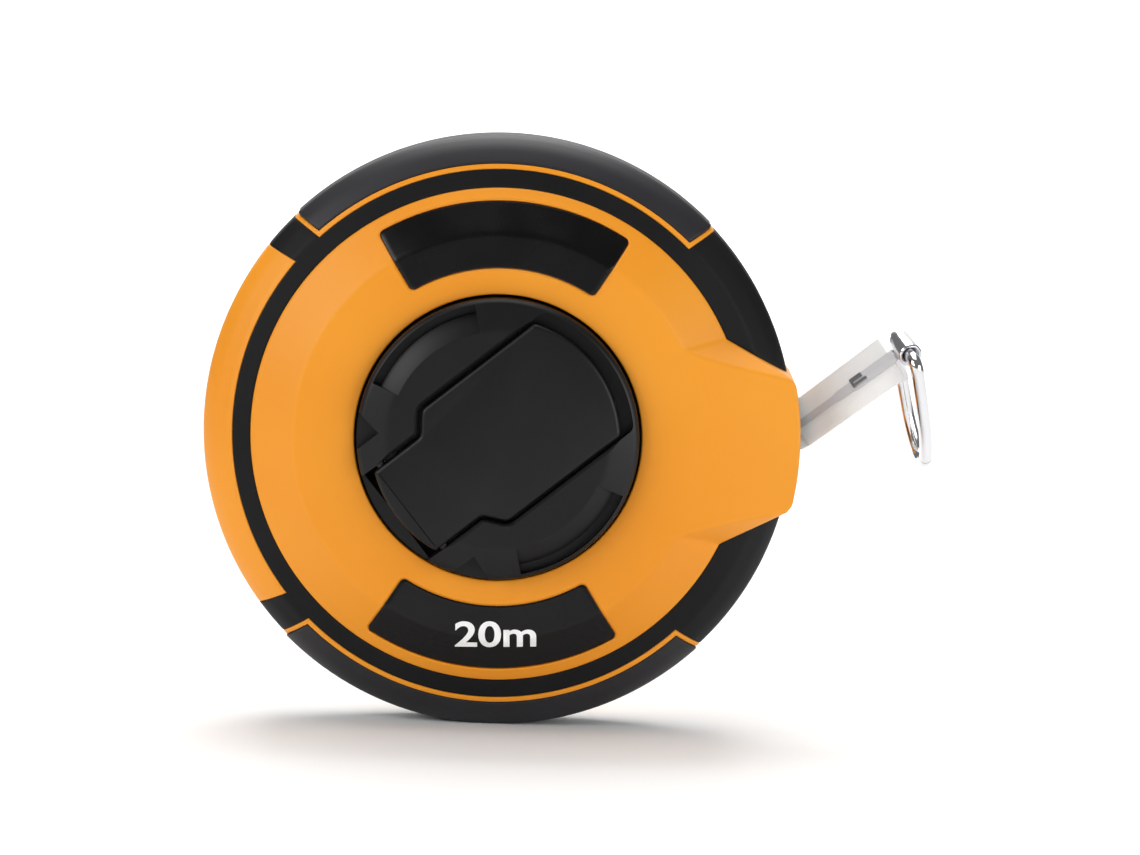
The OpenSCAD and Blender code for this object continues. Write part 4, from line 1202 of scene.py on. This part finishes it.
oxide_and_painted_shade_steel, reel_plastic = steel_oxide_and_painted_shade(), reel_abs()
# The crank's hinge pin takes the dark steel as painted shade: its darkness stands in for the shade in the groove beside
# the arm.
cad_finish = {
    "mouth_guide": guide_acetal(), "guide_pins": zinc, "case_screws": oxide_and_painted_shade_steel, "reel_drum": reel_plastic,
    "front_flange": reel_plastic, "drag_washer": fibre(), "spindle_washer": zinc, "spindle_screw": zinc,
    "tape_anchor": zinc, "tape_coil": coil_layers(), "hub_screws": zinc, "crank_hinge_pin": oxide_and_painted_shade_steel,
    "knob_screw": zinc, "strip_rivets": zinc,
}
for name, finish in cad_finish.items():
    frame["nodes"][name].data.materials.clear()
    frame["nodes"][name].data.materials.append(finish)


# ---------- stage, light and camera ----------
def stage_floor():
    """Pale floor under the rim that curves up into a backdrop far behind."""
    low = cad_box[0][2]
    back = np.stack([np.linspace(0, 1, 14)] * 2, -1)
    line = np.concatenate([[[-1.2, 0]], np.stack([2.0 + 1.2 * np.sin(back[:, 0] * pi / 2),
                                                  1.2 * (1 - np.cos(back[:, 0] * pi / 2))], -1), [[3.2, 4.0]]])
    points = np.stack([np.broadcast_to([[-1.6], [1.6]], (2, len(line))), np.broadcast_to(line[:, 0], (2, len(line))),
                       np.broadcast_to(line[:, 1] + low, (2, len(line)))], -1)
    mesh = bpy.data.meshes.new("floor")
    mesh.from_pydata(points.reshape(-1, 3), [], grid_quads(2, len(line)).tolist())
    mesh.polygons.foreach_set("use_smooth", np.ones(len(mesh.polygons), bool))
    floor = bpy.data.objects.new("floor", mesh)
    bpy.context.scene.collection.objects.link(floor)
    made, tree, shader, place = surface("pale_paper", "#F4F4F3", 0.85)
    mottled(tree, shader, place, "#F2F2F1", "#F6F6F5", 300)
    mesh.materials.append(made)


def soft_light(name, at, aim, size, power):
    """Square area light at a point, turned to aim."""
    lamp = bpy.data.lights.new(name, "AREA")
    lamp.size = size
    lamp.energy = power
    made = bpy.data.objects.new(name, lamp)
    made.location = at
    made.rotation_euler = (Vector(aim) - Vector(at)).to_track_quat("-Z", "Y").to_euler()
    bpy.context.scene.collection.objects.link(made)


def studio():
    """Soft boxes above and at both sides, two small ones nearer the front that pick out low slopes, two
    that whiten the floor and backdrop, and an even dim surround, so that the black flats mirror little."""
    soft_light("top_box", (0.0, 0.05, 0.95), (0, 0, 0), 0.7, 4.5)
    soft_light("left_box", (-0.85, -0.6, 0.5), (0, 0, 0), 0.6, 5.3)
    soft_light("right_box", (0.85, -0.6, 0.1), (0, 0, 0), 0.6, 4.5)
    soft_light("left_glint", (-0.58, -0.85, 0.3), (0, 0, 0), 0.3, 1.1)
    soft_light("right_glint", (0.58, -0.85, 0.0), (0, 0, 0), 0.3, 1.1)
    soft_light("floor_wash", (0.0, 0.9, 1.3), (0, 0.9, 0), 1.0, 18)
    soft_light("backdrop_wash", (0.0, 1.5, 1.7), (0, 3.0, 0.3), 1.4, 55)
    world = bpy.data.worlds.new("surround")
    world.use_nodes = True
    world.node_tree.nodes["Background"].inputs["Color"].default_value = linear("#FFFFFF")
    world.node_tree.nodes["Background"].inputs["Strength"].default_value = 0.18
    bpy.context.scene.world = world
    bpy.context.scene.view_settings.view_transform = "Standard"


def camera():
    """Long lens from the front, a little above; the roll lets the case stand turned as it is seen."""
    azimuth, elevation, roll = rad(-0.67), rad(6.25), rad(1.9)
    distance, frame_width = 1.42, 0.2568
    aim = Vector((0.01615, -MID / 1000, 0.00075))
    towards = Vector((np.sin(azimuth) * np.cos(elevation), -np.cos(azimuth) * np.cos(elevation), np.sin(elevation)))
    lens = bpy.data.cameras.new("camera")
    lens.sensor_width = 36
    lens.lens = 36 * distance / frame_width
    lens.clip_end = 20
    made = bpy.data.objects.new("camera", lens)
    made.location = aim + distance * towards
    made.rotation_euler = ((-towards).to_track_quat("-Z", "Y").to_matrix() @ Matrix.Rotation(roll, 3, "Z")).to_euler()
    bpy.context.scene.collection.objects.link(made)
    bpy.context.scene.camera = made


stage_floor()
studio()
camera()
